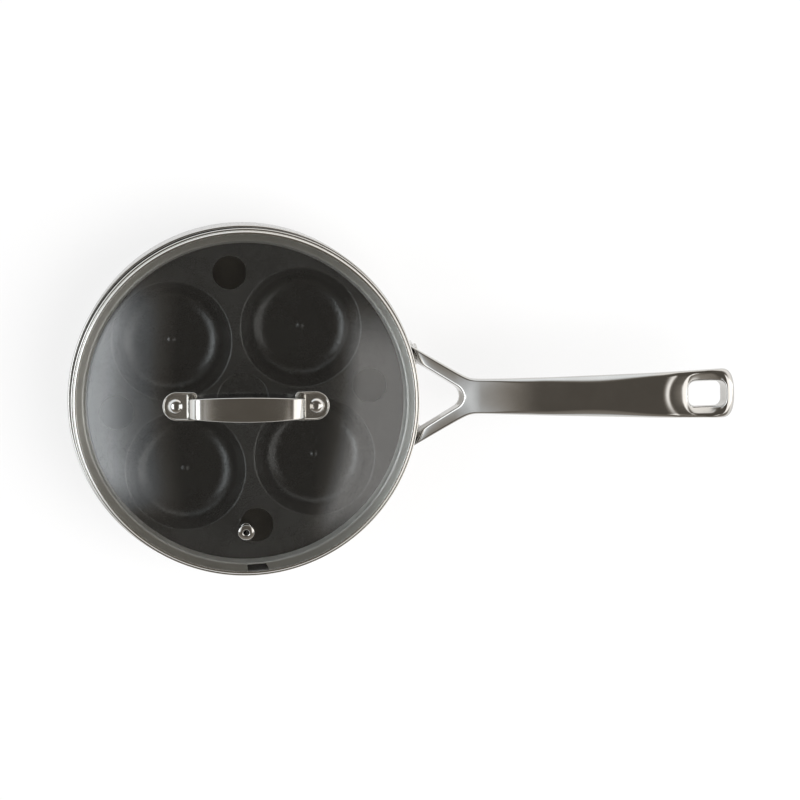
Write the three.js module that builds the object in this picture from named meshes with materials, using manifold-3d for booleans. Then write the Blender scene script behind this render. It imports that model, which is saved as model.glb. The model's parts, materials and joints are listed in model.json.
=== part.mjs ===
// Four-cup egg poacher pan: a clad steel pan with a forked cast handle, a pressed non-stick tray with four
// cups hanging in its mouth, and a domed glass lid with a steel band, a strap handle and a steam vent.
// Millimetres, +Z up. The origin is the middle of the pan's underside and the long handle runs along +X.
import * as THREE from 'three';
import { mergeVertices } from 'three/addons/utils/BufferGeometryUtils.js';
import Module from 'manifold-3d';

const wasm = await Module();
wasm.setup();

// Sizes shared by the whole pan
const seatGap = 0.3; // left between pieces that rest on each other
const cutOverrun = 5; // how far a cutter runs past the material
const wideSegments = 48; // facets round the pan, tray and lid
const cupSegments = 18;
const smallSegments = 12;
const mergeTolerance = 1e-4;
const degrees = THREE.MathUtils.degToRad;

// Pan vessel
const vesselInnerRadius = 100.5;
const vesselSheet = 2.3;
const vesselHeight = 68;
const vesselCornerRadius = 12; // inside, between floor and wall
const lipBendRadius = 4.6; // at mid sheet
const lipBendAngle = degrees(60);

const vesselOuterRadius = vesselInnerRadius + vesselSheet;
const lipCentreRadius = vesselInnerRadius + vesselSheet / 2 + lipBendRadius;
const lipStartHeight = vesselHeight - vesselSheet / 2 - lipBendRadius * Math.sin(lipBendAngle);
const lipTipRadius = lipCentreRadius - lipBendRadius * Math.cos(lipBendAngle);
const lipOuterRadius = lipTipRadius + vesselSheet / 2;

// Poacher tray
const traySheet = 1.5;
const trayWallGap = 0.6; // between the tray's wall and the pan's
const trayDepth = 9.4; // from its rim down to the plate
const trayFilletRadius = 2.5; // inside, between wall and plate
const trayTurn = degrees(5.1); // as it lies in the pan
const cupCount = 4;
const cupMargin = 4; // of flat plate outside each cup
const cupWeb = 4; // of flat plate between two cups
const cupEdgeRadius = 1.8;
const cupWallAngle = degrees(70);
const cupDepth = 16;
const cupFilletRadius = 9;
const cupMarkRadius = 2.6; // small raised mark in the middle of a cup's floor
const cupMarkHeight = 0.4;
const fingerHoleRadius = 10;
const fingerHoleMargin = 9.6; // of flat plate outside each hole
const centreRecessMargin = 2.3; // between the recess and the cups
const centreRecessDepth = 0.5;
const cupOverlap = 0.3; // of a cup's edge into the plate, so that they are one sheet

const trayWallOuterRadius = vesselInnerRadius - trayWallGap;
const trayFlareRadius = lipCentreRadius - trayWallOuterRadius + traySheet / 2; // at mid sheet
const trayFlareHeight = lipStartHeight - (trayWallGap - seatGap) / Math.sin(lipBendAngle);
const trayRimRadius = lipCentreRadius - trayFlareRadius * Math.cos(lipBendAngle);
const trayRimHeight = trayFlareHeight + trayFlareRadius * Math.sin(lipBendAngle);
const trayTop = trayRimHeight + traySheet / 2;
const plateTop = trayTop - trayDepth;
const plateRadius = trayWallOuterRadius - traySheet - trayFilletRadius;
const cupSpreadShare = Math.sin(Math.PI / cupCount);
// The mouth radius, where the plate starts to turn down, follows from the plate that is left round the cups.
const cupMouthRadius = ((plateRadius - cupMargin) * cupSpreadShare - cupWeb / 2) / (1 + cupSpreadShare);
const cupCircleRadius = plateRadius - cupMargin - cupMouthRadius;
const fingerHoleCircleRadius = plateRadius - fingerHoleMargin - fingerHoleRadius;
const centreRecessRadius = cupCircleRadius - cupMouthRadius - centreRecessMargin;

// Lid band
const bandSheet = 0.6;
const bandSetback = 0.7; // of the band's outer edge from the pan's lip
const bandSeatThickness = 1.4; // the folded seat that lies on the tray's rim
const bandLedge = 1.5; // from the seat's edge in to the channel that holds the glass
const bandGrip = 0.8; // how far the channel's lip covers the glass
const skirtPlay = 1.2; // between the top of the skirt and the tray's wall
const skirtTaper = 1.6;
const skirtDepth = 8.3;
const skirtBendRadius = 1;
const notchWidth = 13; // gap in the flange under the glass, where the band's ends meet
const notchAzimuth = degrees(-85.7);
const lidShift = [1.1, -1.1]; // the lid lies a little off the pan's middle
const lidTurn = degrees(-0.8);

const bandSeatRadius = lipOuterRadius - bandSetback;
const channelRadius = bandSeatRadius - bandLedge;
const skirtTopRadius = trayWallOuterRadius - traySheet - skirtPlay;

// Lid glass
const glassThickness = 4;
const domeRise = 20;
const domeFilletRadius = 18; // between the flat edge and the dome, on the upper face
const flatMargin = 0.4; // from the skirt out to where the glass turns flat
const glassEdgeRound = 0.8;

const glassRadius = channelRadius - bandSheet - seatGap;
const glassBottom = bandSheet + seatGap;
const glassTop = glassBottom + glassThickness;
const domeStartRadius = skirtTopRadius + flatMargin;
const domeRadius = (domeStartRadius ** 2 + domeRise ** 2) / (2 * domeRise) - domeFilletRadius;
const domeCentreHeight = glassTop + domeRise - domeRadius;
const bandTop = glassTop + seatGap + bandSheet;

// Lid handle and its rivets
const footRivetSpacing = 83.2;
const footThickness = 2.2;
const footWidth = 17.1;
const footOuterReach = 7.7; // from the rivet to the foot's round end
const footInnerReach = 13.2; // from the rivet to its inner end
const footCornerRadius = 2.5;
const gasketThickness = 0.8;
const gasketInset = 0.8;
const strapThickness = 2.4;
const strapRootWidth = 12;
const strapMiddleWidth = 14.8;
const strapLegReach = 33.7; // from the lid's axis to the middle of a leg
const strapShoulderHeight = 21; // of the bends, above the top of the dome
const strapCrown = 3.2; // the strap's arch above its shoulders
const strapBendRadius = 5;
const strapRootDepth = 1.2; // of a leg's foot into the foot plate
const lidRivetRadius = 2.4;
const lidRivetHeadRadius = 4.6;
const lidRivetHeadHeight = 2.1;
const lidRivetTailRadius = 3.9;
const lidRivetTailHeight = 1.3;
const lidRivetPlay = 0.35; // round the shank, in the foot and the washers
const glassHoleRadius = 3.4;
const sealWasherRadius = 6.6;
const sealWasherThickness = 1;
const backWasherRadius = 6;
const backWasherThickness = 0.9;

// Steam vent
const ventMargin = 20.9; // from the skirt in to the vent's axis
const ventAzimuth = degrees(-90);
const ventHoleRadius = 1.7;
const ventTubeRadius = 2.6;
const ventFlangeRadius = 4.9;
const ventFlangeHeight = 1;
const ventSealRadius = 4.5;
const ventSealThickness = 0.6;
const ventGlassHoleRadius = 3;

const ventRadius = skirtTopRadius - ventMargin; // from the lid's axis

// Long handle
const handleLength = 189.9; // from the wall to the tip
const neckLength = 38.9; // from the wall to the narrowest place
const neckHalfWidth = 10.1;
const gripHalfWidth = 14.9; // near the tip
const forkSlope = 0.589; // sideways run of an arm's outer edge for each millimetre outwards
const forkLength = 32; // from the wall to where that edge would meet the grip's edge
const neckBlend = 2.2; // softness of the bend between those edges
const tipRound = 8;
const tipPower = 2.6; // of the superellipse that rounds the tip in plan
const armThickness = 9.4;
const gripThickness = 8;
// Bevel along the top edges: distances from the wall and the widths there.
const bevelPlaces = [[0, 1.1], [38.9, 1.4], [108, 5], [150, 2.2], [168, 4.6]];
const bevelSlope = 0.7;
const bellyRound = 2.4; // of the edges underneath
const topCrown = 0.3;
const rootHeight = 54; // of an arm's middle at the wall, where it climbs past the pan's lip
const rootSlope = 2.05;
const rootSweep = 0.25; // how much nearer to the wall the climb ends, for each millimetre sideways
const rootBlend = 1.8; // softness of the bend at the top of that climb
const armHeight = 60.5; // where the arm's line beyond the bend would meet the wall
const neckHeight = 72.5;
const crestLength = 136.9; // from the wall to the highest place
const crestHeight = 87.3;
const droopLength = 158.9; // from the wall to where the bar turns down towards its tip
const droopHeight = 86.2;
const tipHeight = 80.5;
const crotchLength = 34.6; // from the wall to where the opening's straight sides would meet
const crotchHalfAngle = degrees(31.9);
const crotchRadius = 7.3;
const crotchLean = 2.2; // how far the opening between the arms is set back at the bottom
const openingRound = 1; // rounding of the edges of both openings
const loopSetback = 16.4; // of the loop's middle from the tip
const loopLength = 22.6;
const loopWidth = 14.6;
const loopCornerRadius = 4.2;
const loopLean = 3; // how far the loop's outer wall comes in at the bottom
const dishSetback = 24; // of the middle of the shallow dish round the loop
const dishRadius = 20.5;
const dishDepth = 1.6;
const padOffset = 23.5; // of a pad's middle to either side
const padWidth = 15;
const padHeight = 30;
const padThickness = 4;
const padCornerRadius = 5;
const padDrop = 13; // of the pad's middle below the arms' middle
const panRivetDrop = 18; // of the rivets below the arms' middle
const panRivetRadius = 3;
const panRivetHeadRadius = 6.2;
const panRivetHeadHeight = 1.5;
const panRivetTailRadius = 4.8;
const panRivetTailHeight = 1.6;
const panRivetPlay = 0.3;
const panRivetRoundShare = 0.6; // rounding of a head or tail, of its height
const midClimbShare = 0.75; // of the climb from neck to crest that is done halfway along
const tipSlimShare = 0.35; // of the bar's thickness that is left where the tip closes
const ridgeShares = [0.25, 0.9]; // least and greatest place of the inner points of a section, of its flat top

const padInnerRadius = vesselOuterRadius + seatGap;
const padAzimuth = Math.asin(padOffset / padInnerRadius);
const panRivetHeight = rootHeight - panRivetDrop;
const handleReach = padInnerRadius + handleLength; // from the pan's axis
const neckReach = padInnerRadius + neckLength;
const forkEdgeReach = padInnerRadius + forkLength;
const crestReach = padInnerRadius + crestLength;
const crotchReach = padInnerRadius + crotchLength;
const loopCentreReach = handleReach - loopSetback;
const dishCentreReach = handleReach - dishSetback;

// Materials
const steel = new THREE.MeshStandardMaterial({ color: 0xc9c8c4, roughness: 0.2, metalness: 1 });
const castSteel = new THREE.MeshStandardMaterial({ color: 0xbdbbb6, roughness: 0.14, metalness: 1 });
const coating = new THREE.MeshStandardMaterial({ color: 0x262524, roughness: 0.45, metalness: 0.1 });
const clearGlass = new THREE.MeshStandardMaterial({
  color: 0xdfe6e6, roughness: 0.03, metalness: 0, transparent: true, opacity: 0.25,
});
const silicone = new THREE.MeshStandardMaterial({ color: 0x2d2d2d, roughness: 0.7, metalness: 0 });

// General geometry

// Points [radius, height] along an arc, both ends included.
function arc(centre, radius, from, to, steps) {
  return Array.from({ length: steps + 1 }, (_, i) => {
    const angle = from + ((to - from) * i) / steps;
    return [centre[0] + radius * Math.cos(angle), centre[1] + radius * Math.sin(angle)];
  });
}

// A profile of [radius, height] points, listed anticlockwise, turned round the Z axis.
function revolve(profile, segments) {
  const points = profile.map(([radius, height]) => new THREE.Vector2(Math.max(radius, 0), height));
  if (points[0].x > 0 || points[points.length - 1].x > 0) points.push(points[0].clone());
  return new THREE.LatheGeometry(points, segments).rotateX(Math.PI / 2);
}

// A closed body through rings of points, each ring anticlockwise when seen from the end.
function loft(rings) {
  const count = rings[0].length;
  const middles = [rings[0], rings[rings.length - 1]].map((ring) =>
    ring.reduce((sum, point) => sum.add(point), new THREE.Vector3()).divideScalar(count));
  const vertices = [...rings.flat(), ...middles];
  const faces = [];
  rings.slice(1).forEach((_, i) => {
    for (let j = 0; j < count; j++) {
      const a = i * count + j;
      const b = i * count + ((j + 1) % count);
      faces.push(a, b, b + count, a, b + count, a + count);
    }
  });
  const last = (rings.length - 1) * count;
  for (let j = 0; j < count; j++) {
    const next = (j + 1) % count;
    faces.push(vertices.length - 2, next, j, vertices.length - 1, last + j, last + next);
  }
  const geometry = new THREE.BufferGeometry().setFromPoints(vertices);
  geometry.setIndex(faces);
  return geometry;
}

// A round bar along Z between two heights.
function bar(radius, from, to, segments) {
  return revolve([[0, from], [radius, from], [radius, to], [0, to]], segments);
}

// A rectangle with rounded corners, as points [x, y] round its middle.
function roundedRectangle(length, width, radius, steps) {
  const x = length / 2 - radius;
  const y = width / 2 - radius;
  const quarter = Math.PI / 2;
  return [[x, -y, -1], [x, y, 0], [-x, y, 1], [-x, -y, 2]].flatMap(([cx, cy, turn]) =>
    arc([cx, cy], radius, turn * quarter, (turn + 1) * quarter, steps));
}

function extrude(points, depth) {
  const shape = new THREE.Shape(points.map(([x, y]) => new THREE.Vector2(x, y)));
  return new THREE.ExtrudeGeometry(shape, { depth, bevelEnabled: false });
}

// A geometry as a solid that can be joined and cut.
function solid(geometry, place = new THREE.Matrix4()) {
  const bare = geometry.clone().applyMatrix4(place);
  Object.keys(bare.attributes).filter((key) => key !== 'position')
    .forEach((key) => bare.deleteAttribute(key));
  const merged = mergeVertices(bare, mergeTolerance);
  const index = merged.index.array;
  const kept = [];
  for (let i = 0; i < index.length; i += 3) {
    const [a, b, c] = [index[i], index[i + 1], index[i + 2]];
    if (a !== b && b !== c && c !== a) kept.push(a, b, c);
  }
  return new wasm.Manifold(new wasm.Mesh({
    numProp: 3, vertProperties: merged.attributes.position.array, triVerts: new Uint32Array(kept),
  }));
}

function toMesh(name, made, material) {
  const { vertProperties, triVerts } = made.getMesh();
  const geometry = new THREE.BufferGeometry();
  geometry.setAttribute('position', new THREE.BufferAttribute(new Float32Array(vertProperties), 3));
  geometry.setIndex(new THREE.BufferAttribute(new Uint32Array(triVerts), 1));
  geometry.computeVertexNormals();
  const mesh = new THREE.Mesh(geometry, material);
  mesh.name = name;
  return mesh;
}

function moved(x, y, z) {
  return new THREE.Matrix4().makeTranslation(x, y, z);
}

function turnedZ(angle) {
  return new THREE.Matrix4().makeRotationZ(angle);
}

function joined(solids) {
  return solids.reduce((sum, next) => sum.add(next));
}

// Pan

// The clad sheet from the middle of the underside, round the flared pouring lip, to the middle of the floor.
function vesselBody() {
  const outerCorner = vesselCornerRadius + vesselSheet;
  const lipCentre = [lipCentreRadius, lipStartHeight];
  const tip = [lipTipRadius, vesselHeight - vesselSheet / 2];
  const facing = Math.PI - lipBendAngle; // direction of the lip's tip from the bend's centre
  return revolve([
    [0, 0],
    ...arc([vesselOuterRadius - outerCorner, outerCorner], outerCorner, -Math.PI / 2, 0, 4),
    ...arc(lipCentre, lipBendRadius - vesselSheet / 2, Math.PI, facing, 3),
    ...arc(tip, vesselSheet / 2, facing - Math.PI, facing, 4).slice(1, -1),
    ...arc(lipCentre, lipBendRadius + vesselSheet / 2, facing, Math.PI, 3),
    ...arc([vesselInnerRadius - vesselCornerRadius, outerCorner], vesselCornerRadius, 0, -Math.PI / 2, 4),
    [0, vesselSheet],
  ], wideSegments);
}

// Places something made along +Z so that it points outwards through the wall at a pad.
function atPad(side, height) {
  return turnedZ(side * padAzimuth).multiply(moved(0, 0, height))
    .multiply(new THREE.Matrix4().makeRotationY(Math.PI / 2));
}

function vessel() {
  const hole = bar(panRivetRadius + panRivetPlay, vesselInnerRadius - cutOverrun,
    vesselOuterRadius + cutOverrun, smallSegments);
  return [-1, 1].reduce((body, side) => body.subtract(solid(hole, atPad(side, panRivetHeight))),
    solid(vesselBody()));
}

// A rivet through the wall and a pad: a low domed head inside the pan, a formed tail outside.
function panRivet(side) {
  const headFace = vesselInnerRadius - seatGap;
  const tailFace = padInnerRadius + padThickness + seatGap;
  const headTop = headFace - panRivetHeadHeight;
  const tailEnd = tailFace + panRivetTailHeight;
  const headRound = panRivetHeadHeight * panRivetRoundShare;
  const tailRound = panRivetTailHeight * panRivetRoundShare;
  // The head bears on the curved wall, so its rim stands off by the wall's sagitta.
  const sagitta = vesselInnerRadius - Math.sqrt(vesselInnerRadius ** 2 - panRivetHeadRadius ** 2);
  const outline = [
    [0, headTop - sagitta],
    [panRivetHeadRadius - headRound, headTop - sagitta],
    [panRivetHeadRadius, headTop - sagitta + headRound],
    [panRivetHeadRadius, headFace - sagitta],
    [panRivetRadius, headFace - sagitta],
    [panRivetRadius, tailFace],
    [panRivetTailRadius, tailFace],
    [panRivetTailRadius, tailEnd - tailRound],
    [panRivetTailRadius - tailRound, tailEnd],
    [0, tailEnd],
  ];
  return solid(revolve(outline, smallSegments), atPad(side, panRivetHeight));
}

// Long handle

const spine = new THREE.SplineCurve([
  [padInnerRadius, armHeight],
  [neckReach, neckHeight],
  [(neckReach + crestReach) / 2, neckHeight + (crestHeight - neckHeight) * midClimbShare],
  [crestReach, crestHeight],
  [padInnerRadius + droopLength, droopHeight],
  [handleReach, tipHeight],
].map(([x, z]) => new THREE.Vector2(x, z)));
const spinePoints = spine.getPoints(120);

// Height of the bar's middle, by the distance from the pan's axis, carried on straight past either end.
function spineHeight(x, y) {
  const reach = Math.hypot(x, y);
  const after = spinePoints.findIndex((point) => point.x > reach);
  const i = after < 0 ? spinePoints.length - 1 : Math.max(after, 1);
  const [a, b] = [spinePoints[i - 1], spinePoints[i]];
  const gentle = a.y + ((b.y - a.y) * (reach - a.x)) / (b.x - a.x);
  const sweep = rootSweep * (Math.abs(y) - padOffset);
  const steep = rootHeight + (reach + sweep - padInnerRadius) * rootSlope;
  return (gentle + steep - Math.hypot(gentle - steep, rootBlend)) / 2;
}

// Half of the bar's width: the fork's edge and the grip's edge, blended, and closed round the tip.
function halfWidthAt(x) {
  const share = (x - neckReach) / (handleReach - neckReach);
  const grip = neckHalfWidth + share * (gripHalfWidth - neckHalfWidth);
  const fork = neckHalfWidth + (forkEdgeReach - x) * forkSlope;
  const blended = (grip + fork + Math.hypot(grip - fork, neckBlend)) / 2;
  const intoTip = THREE.MathUtils.clamp((x - (handleReach - tipRound)) / tipRound, 0, 1);
  return blended * (1 - intoTip ** tipPower) ** (1 / tipPower);
}

// The bar's thickness goes from the arms' to the grip's.
function thicknessAt(x) {
  const share = THREE.MathUtils.smoothstep(x, neckReach, (neckReach + crestReach) / 2);
  return armThickness + (gripThickness - armThickness) * share;
}

// Width of the bevel, which is broadest under the palm and again round the loop.
function bevelAt(x) {
  const length = x - padInnerRadius;
  const next = bevelPlaces.findIndex(([place]) => place > length);
  if (next < 1) return bevelPlaces[next < 0 ? bevelPlaces.length - 1 : 0][1];
  const [[from, before], [to, after]] = bevelPlaces.slice(next - 1, next + 1);
  return before + ((after - before) * (length - from)) / (to - from);
}

// One section across the bar: a crowned top with bevelled edges, upright sides and a rounded belly.
function barSection(x) {
  const half = halfWidthAt(x);
  const slimShare = Math.min(1, tipSlimShare + half / gripHalfWidth); // the tip is rounded over as well
  const thick = (thicknessAt(x) / 2) * slimShare;
  const bevel = Math.min(bevelAt(x), half / 2);
  const flat = half - bevel;
  const [least, greatest] = ridgeShares.map((share) => share * flat);
  const crotch = Math.min(Math.max((crotchReach - x) * Math.tan(crotchHalfAngle), least), greatest);
  const belly = Math.min(bellyRound, half / 2);
  const side = [
    [half, belly - thick],
    [half, thick - bevel * bevelSlope],
    [flat, thick],
    [(flat + crotch) / 2, thick + topCrown / 2],
    [crotch, thick + topCrown],
  ];
  const under = [[crotch, -thick], [(half - belly + crotch) / 2, -thick], [half - belly, -thick]];
  const mirror = (points) => points.map(([y, z]) => [-y, z]).reverse();
  const outline = [...side, [0, thick + topCrown], ...mirror(side), ...mirror(under), [0, -thick], ...under];
  return outline.map(([y, z]) => new THREE.Vector3(x, y, spineHeight(x, y) + z));
}

function handleBar() {
  const start = vesselOuterRadius - 2 * cutOverrun;
  const bendReach = padInnerRadius + 2 * rootBlend;
  const tipStart = handleReach - tipRound;
  const between = (from, to, steps) =>
    Array.from({ length: steps }, (_, i) => from + ((to - from) * i) / steps);
  const tipShares = [0, 0.3, 0.55, 0.75, 0.88, 0.96, 0.995];
  const stations = [
    ...between(start, bendReach, 8),
    ...between(bendReach, neckReach, 8),
    ...between(neckReach, tipStart, 12),
    ...tipShares.map((share) => tipStart + tipRound * share),
  ];
  return solid(loft(stations.map(barSection)));
}

// The shallow dish in the top face round the hanging loop.
function dishCutter() {
  const radius = (dishRadius ** 2 + dishDepth ** 2) / (2 * dishDepth);
  const reach = Math.asin(dishRadius / radius);
  const middleHeight = spineHeight(dishCentreReach, 0);
  const slope = (spineHeight(handleReach, 0) - middleHeight) / (handleReach - dishCentreReach);
  const rise = cutOverrun / radius; // the dish's curve goes on a little above the face
  const profile = [
    ...arc([0, radius - dishDepth], radius, -Math.PI / 2, reach + rise - Math.PI / 2, 5),
    [0, cutOverrun],
  ];
  return solid(revolve(profile, cupSegments),
    moved(dishCentreReach, 0, middleHeight + gripThickness / 2 + topCrown)
      .multiply(new THREE.Matrix4().makeRotationY(-Math.atan(slope))));
}

// A cutter for an opening in the bar: the outline at mid thickness, opening out towards both faces.
function openingCutter(outline, rounding) {
  const half = armThickness / 2;
  const levelShares = [-1, -0.62, 0, 0.62, 1];
  const growthShares = [1, 0.25, 0, 0.25, 1];
  const rings = levelShares.map((share, i) =>
    outline(rounding * growthShares[i], share).map(([x, y]) =>
      new THREE.Vector3(x, y, spineHeight(x, y) + share * half)));
  const levelled = (ring, height) => ring.map((point) => point.clone().setZ(height));
  const [lowest, highest] = [Math.min, Math.max].map((pick) => pick(...rings.flat().map((point) => point.z)));
  return solid(loft([
    levelled(rings[0], lowest - cutOverrun), ...rings,
    levelled(rings[rings.length - 1], highest + cutOverrun),
  ]));
}

// Where the crotch's straight sides have their points, between the wall and the rounded apex.
const crotchShares = [0, 0.25, 0.4, 0.55, 0.75];

// The triangle between the fork's arms, round at its apex, open towards the pan, and set back at the bottom.
function crotchOutline(growth, level) {
  const apex = crotchReach + growth / Math.sin(crotchHalfAngle) - (crotchLean * (1 - level)) / 2;
  const radius = crotchRadius + growth;
  const centre = [apex - radius / Math.sin(crotchHalfAngle), 0];
  const start = vesselOuterRadius - 3 * cutOverrun;
  const spread = (apex - start) * Math.tan(crotchHalfAngle);
  const sweep = Math.PI / 2 - crotchHalfAngle;
  const side = (sign) => crotchShares.map((share) => {
    const along = (centre[0] - start) * share;
    return [start + along, sign * (spread - along * Math.tan(crotchHalfAngle))];
  });
  return [...side(1).reverse(), ...side(-1), ...arc(centre, radius, -sweep, sweep, 6)];
}

// The hanging loop's opening: its outer wall leans in towards the underside.
function loopOutline(growth, level) {
  const lean = (loopLean * (1 - level)) / 2;
  const length = loopLength + 2 * growth - lean;
  const middle = loopCentreReach - lean / 2;
  return roundedRectangle(length, loopWidth + 2 * growth, loopCornerRadius + growth, 2)
    .map(([x, y]) => [middle + x, y]);
}

// A pad that lies against the wall, cut from a ring so that it follows the curve.
function handlePad(side) {
  const height = rootHeight - padDrop;
  const block = extrude(roundedRectangle(padHeight, padWidth, padCornerRadius, 3), padThickness + cutOverrun);
  const place = atPad(side, height).multiply(moved(0, 0, padInnerRadius - cutOverrun / 2));
  const ring = (radius) => solid(bar(radius, 0, vesselHeight, wideSegments));
  const shell = ring(padInnerRadius + padThickness).subtract(ring(padInnerRadius));
  return solid(block, place).intersect(shell);
}

function longHandle() {
  const wall = solid(bar(padInnerRadius, -cutOverrun, vesselHeight + cutOverrun, wideSegments));
  const hole = bar(panRivetRadius + panRivetPlay, vesselInnerRadius,
    padInnerRadius + padThickness + cutOverrun, smallSegments);
  // Room for the rivet's tail, so that the arm's underside clears it.
  const tailRoom = bar(panRivetTailRadius + seatGap, padInnerRadius + padThickness,
    padInnerRadius + padThickness + 2 * panRivetTailHeight + seatGap, smallSegments);
  const open = handleBar()
    .subtract(openingCutter(crotchOutline, openingRound))
    .subtract(openingCutter(loopOutline, openingRound))
    .subtract(dishCutter())
    .subtract(wall);
  return [-1, 1].reduce((body, side) => body.add(handlePad(side))
    .subtract(solid(hole, atPad(side, panRivetHeight)))
    .subtract(solid(tailRoom, atPad(side, panRivetHeight))), open);
}

// Poacher tray

// The tray's plate, wall and flared rim, which lies in the pan's lip.
function trayShell() {
  const facing = Math.PI - lipBendAngle;
  const flareCentre = [lipCentreRadius, trayFlareHeight];
  const inner = trayWallOuterRadius - traySheet;
  const outerFillet = trayFilletRadius + traySheet;
  const filletHeight = plateTop + trayFilletRadius;
  return revolve([
    [0, plateTop - traySheet],
    ...arc([trayWallOuterRadius - outerFillet, filletHeight], outerFillet, -Math.PI / 2, 0, 2),
    ...arc(flareCentre, trayFlareRadius - traySheet / 2, Math.PI, facing, 3),
    ...arc([trayRimRadius, trayRimHeight], traySheet / 2, facing - Math.PI, facing, 3).slice(1, -1),
    ...arc(flareCentre, trayFlareRadius + traySheet / 2, facing, Math.PI, 3),
    ...arc([inner - trayFilletRadius, filletHeight], trayFilletRadius, 0, -Math.PI / 2, 2),
    [0, plateTop],
  ], wideSegments);
}

// One cup: a small edge radius, a steep wall, a wide fillet and a flat floor with a raised mark.
function cupShell() {
  const facing = Math.PI / 2 + cupWallAngle;
  const edgeCentre = [cupMouthRadius, -cupEdgeRadius];
  const edgeEnd = arc(edgeCentre, cupEdgeRadius, facing, facing, 1)[0];
  const filletHeight = cupFilletRadius - cupDepth;
  const wallDrop = edgeEnd[1] - (filletHeight - cupFilletRadius * Math.cos(cupWallAngle));
  const floorRadius = edgeEnd[0] - wallDrop / Math.tan(cupWallAngle)
    - cupFilletRadius * Math.sin(cupWallAngle);
  const bottom = -cupDepth - traySheet;
  const rim = cupMouthRadius + cupOverlap;
  const undersideRadius = Math.max(cupEdgeRadius - traySheet, cupOverlap / 2);
  const toWall = cupWallAngle - Math.PI / 2;
  return revolve([
    [0, bottom],
    ...arc([floorRadius, filletHeight], cupFilletRadius + traySheet, -Math.PI / 2, toWall, 3),
    ...arc([cupMouthRadius, -traySheet - undersideRadius], undersideRadius, facing, Math.PI / 2, 1),
    [rim, -traySheet],
    [rim, 0],
    ...arc(edgeCentre, cupEdgeRadius, Math.PI / 2, facing, 2),
    ...arc([floorRadius, filletHeight], cupFilletRadius, toWall, -Math.PI / 2, 4),
    [cupMarkRadius, -cupDepth],
    [cupMarkRadius / 2, cupMarkHeight - cupDepth],
    [0, cupMarkHeight - cupDepth],
  ], cupSegments);
}

function poacherTray() {
  const deep = plateTop - traySheet - cutOverrun;
  const cupCutter = bar(cupMouthRadius, deep, plateTop + cutOverrun, cupSegments);
  const holeCutter = bar(fingerHoleRadius, deep, plateTop + cutOverrun, smallSegments);
  const recess = solid(bar(centreRecessRadius, plateTop - centreRecessDepth, plateTop + cutOverrun,
    cupSegments));
  const stations = Array.from({ length: cupCount }, (_, i) => (2 * Math.PI * i) / cupCount);
  const step = Math.PI / cupCount;
  const at = (angle, radius, height) => turnedZ(angle).multiply(moved(radius, 0, height));
  const plate = stations.reduce((body, angle) => body
    .subtract(solid(cupCutter, at(angle + step, cupCircleRadius, 0)))
    .subtract(solid(holeCutter, at(angle, fingerHoleCircleRadius, 0))), solid(trayShell()).subtract(recess));
  return joined([plate, ...stations.map((angle) =>
    solid(cupShell(), at(angle + step, cupCircleRadius, plateTop)))]);
}

// Lid: heights here are measured from the band's seat

// The band: a folded seat, a channel that grips the glass, a flange under the glass and a tapered skirt.
function lidBand() {
  const halfSeat = bandSeatThickness / 2;
  const skirtBottomRadius = skirtTopRadius - skirtTaper;
  const seatCentre = [bandSeatRadius - halfSeat, halfSeat];
  const channelInner = channelRadius - bandSheet;
  const gripRadius = glassRadius - bandGrip;
  const profile = [
    [skirtBottomRadius - bandSheet, -skirtDepth],
    [skirtBottomRadius, -skirtDepth],
    [skirtTopRadius, -skirtBendRadius],
    [skirtTopRadius + skirtBendRadius, 0],
    ...arc(seatCentre, halfSeat, -Math.PI / 2, Math.PI / 2, 3),
    [channelRadius + bandSheet / 2, bandSeatThickness],
    [channelRadius, bandSeatThickness + bandSheet / 2],
    ...arc([channelInner, bandTop - bandSheet], bandSheet, 0, Math.PI / 2, 2),
    [gripRadius + bandSheet / 2, bandTop],
    [gripRadius, bandTop - bandSheet / 2],
    [gripRadius + bandSheet / 2, bandTop - bandSheet],
    [channelInner, bandTop - bandSheet],
    [channelInner, bandSheet],
    [skirtTopRadius + bandSheet / 2, bandSheet],
    [skirtTopRadius - bandSheet, -skirtBendRadius],
  ];
  const width = channelInner - skirtTopRadius - 2 * bandSheet;
  const cutter = new THREE.BoxGeometry(width, notchWidth, 2 * bandSheet);
  const place = turnedZ(notchAzimuth).multiply(moved(channelInner - bandSheet - width / 2, 0, bandSheet / 2));
  return solid(revolve(profile, wideSegments)).subtract(solid(cutter, place));
}

// Local frame on the glass at a distance from the lid's axis: +Z is the dome's normal, 0 its upper face.
function onDome(radius, azimuth) {
  const slope = Math.asin(radius / domeRadius);
  const height = domeCentreHeight + Math.sqrt(domeRadius ** 2 - radius ** 2);
  return turnedZ(azimuth).multiply(moved(radius, 0, height))
    .multiply(new THREE.Matrix4().makeRotationY(slope));
}

function footPlaces() {
  return [Math.PI, 0].map((azimuth) => onDome(footRivetSpacing / 2, azimuth));
}

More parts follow.
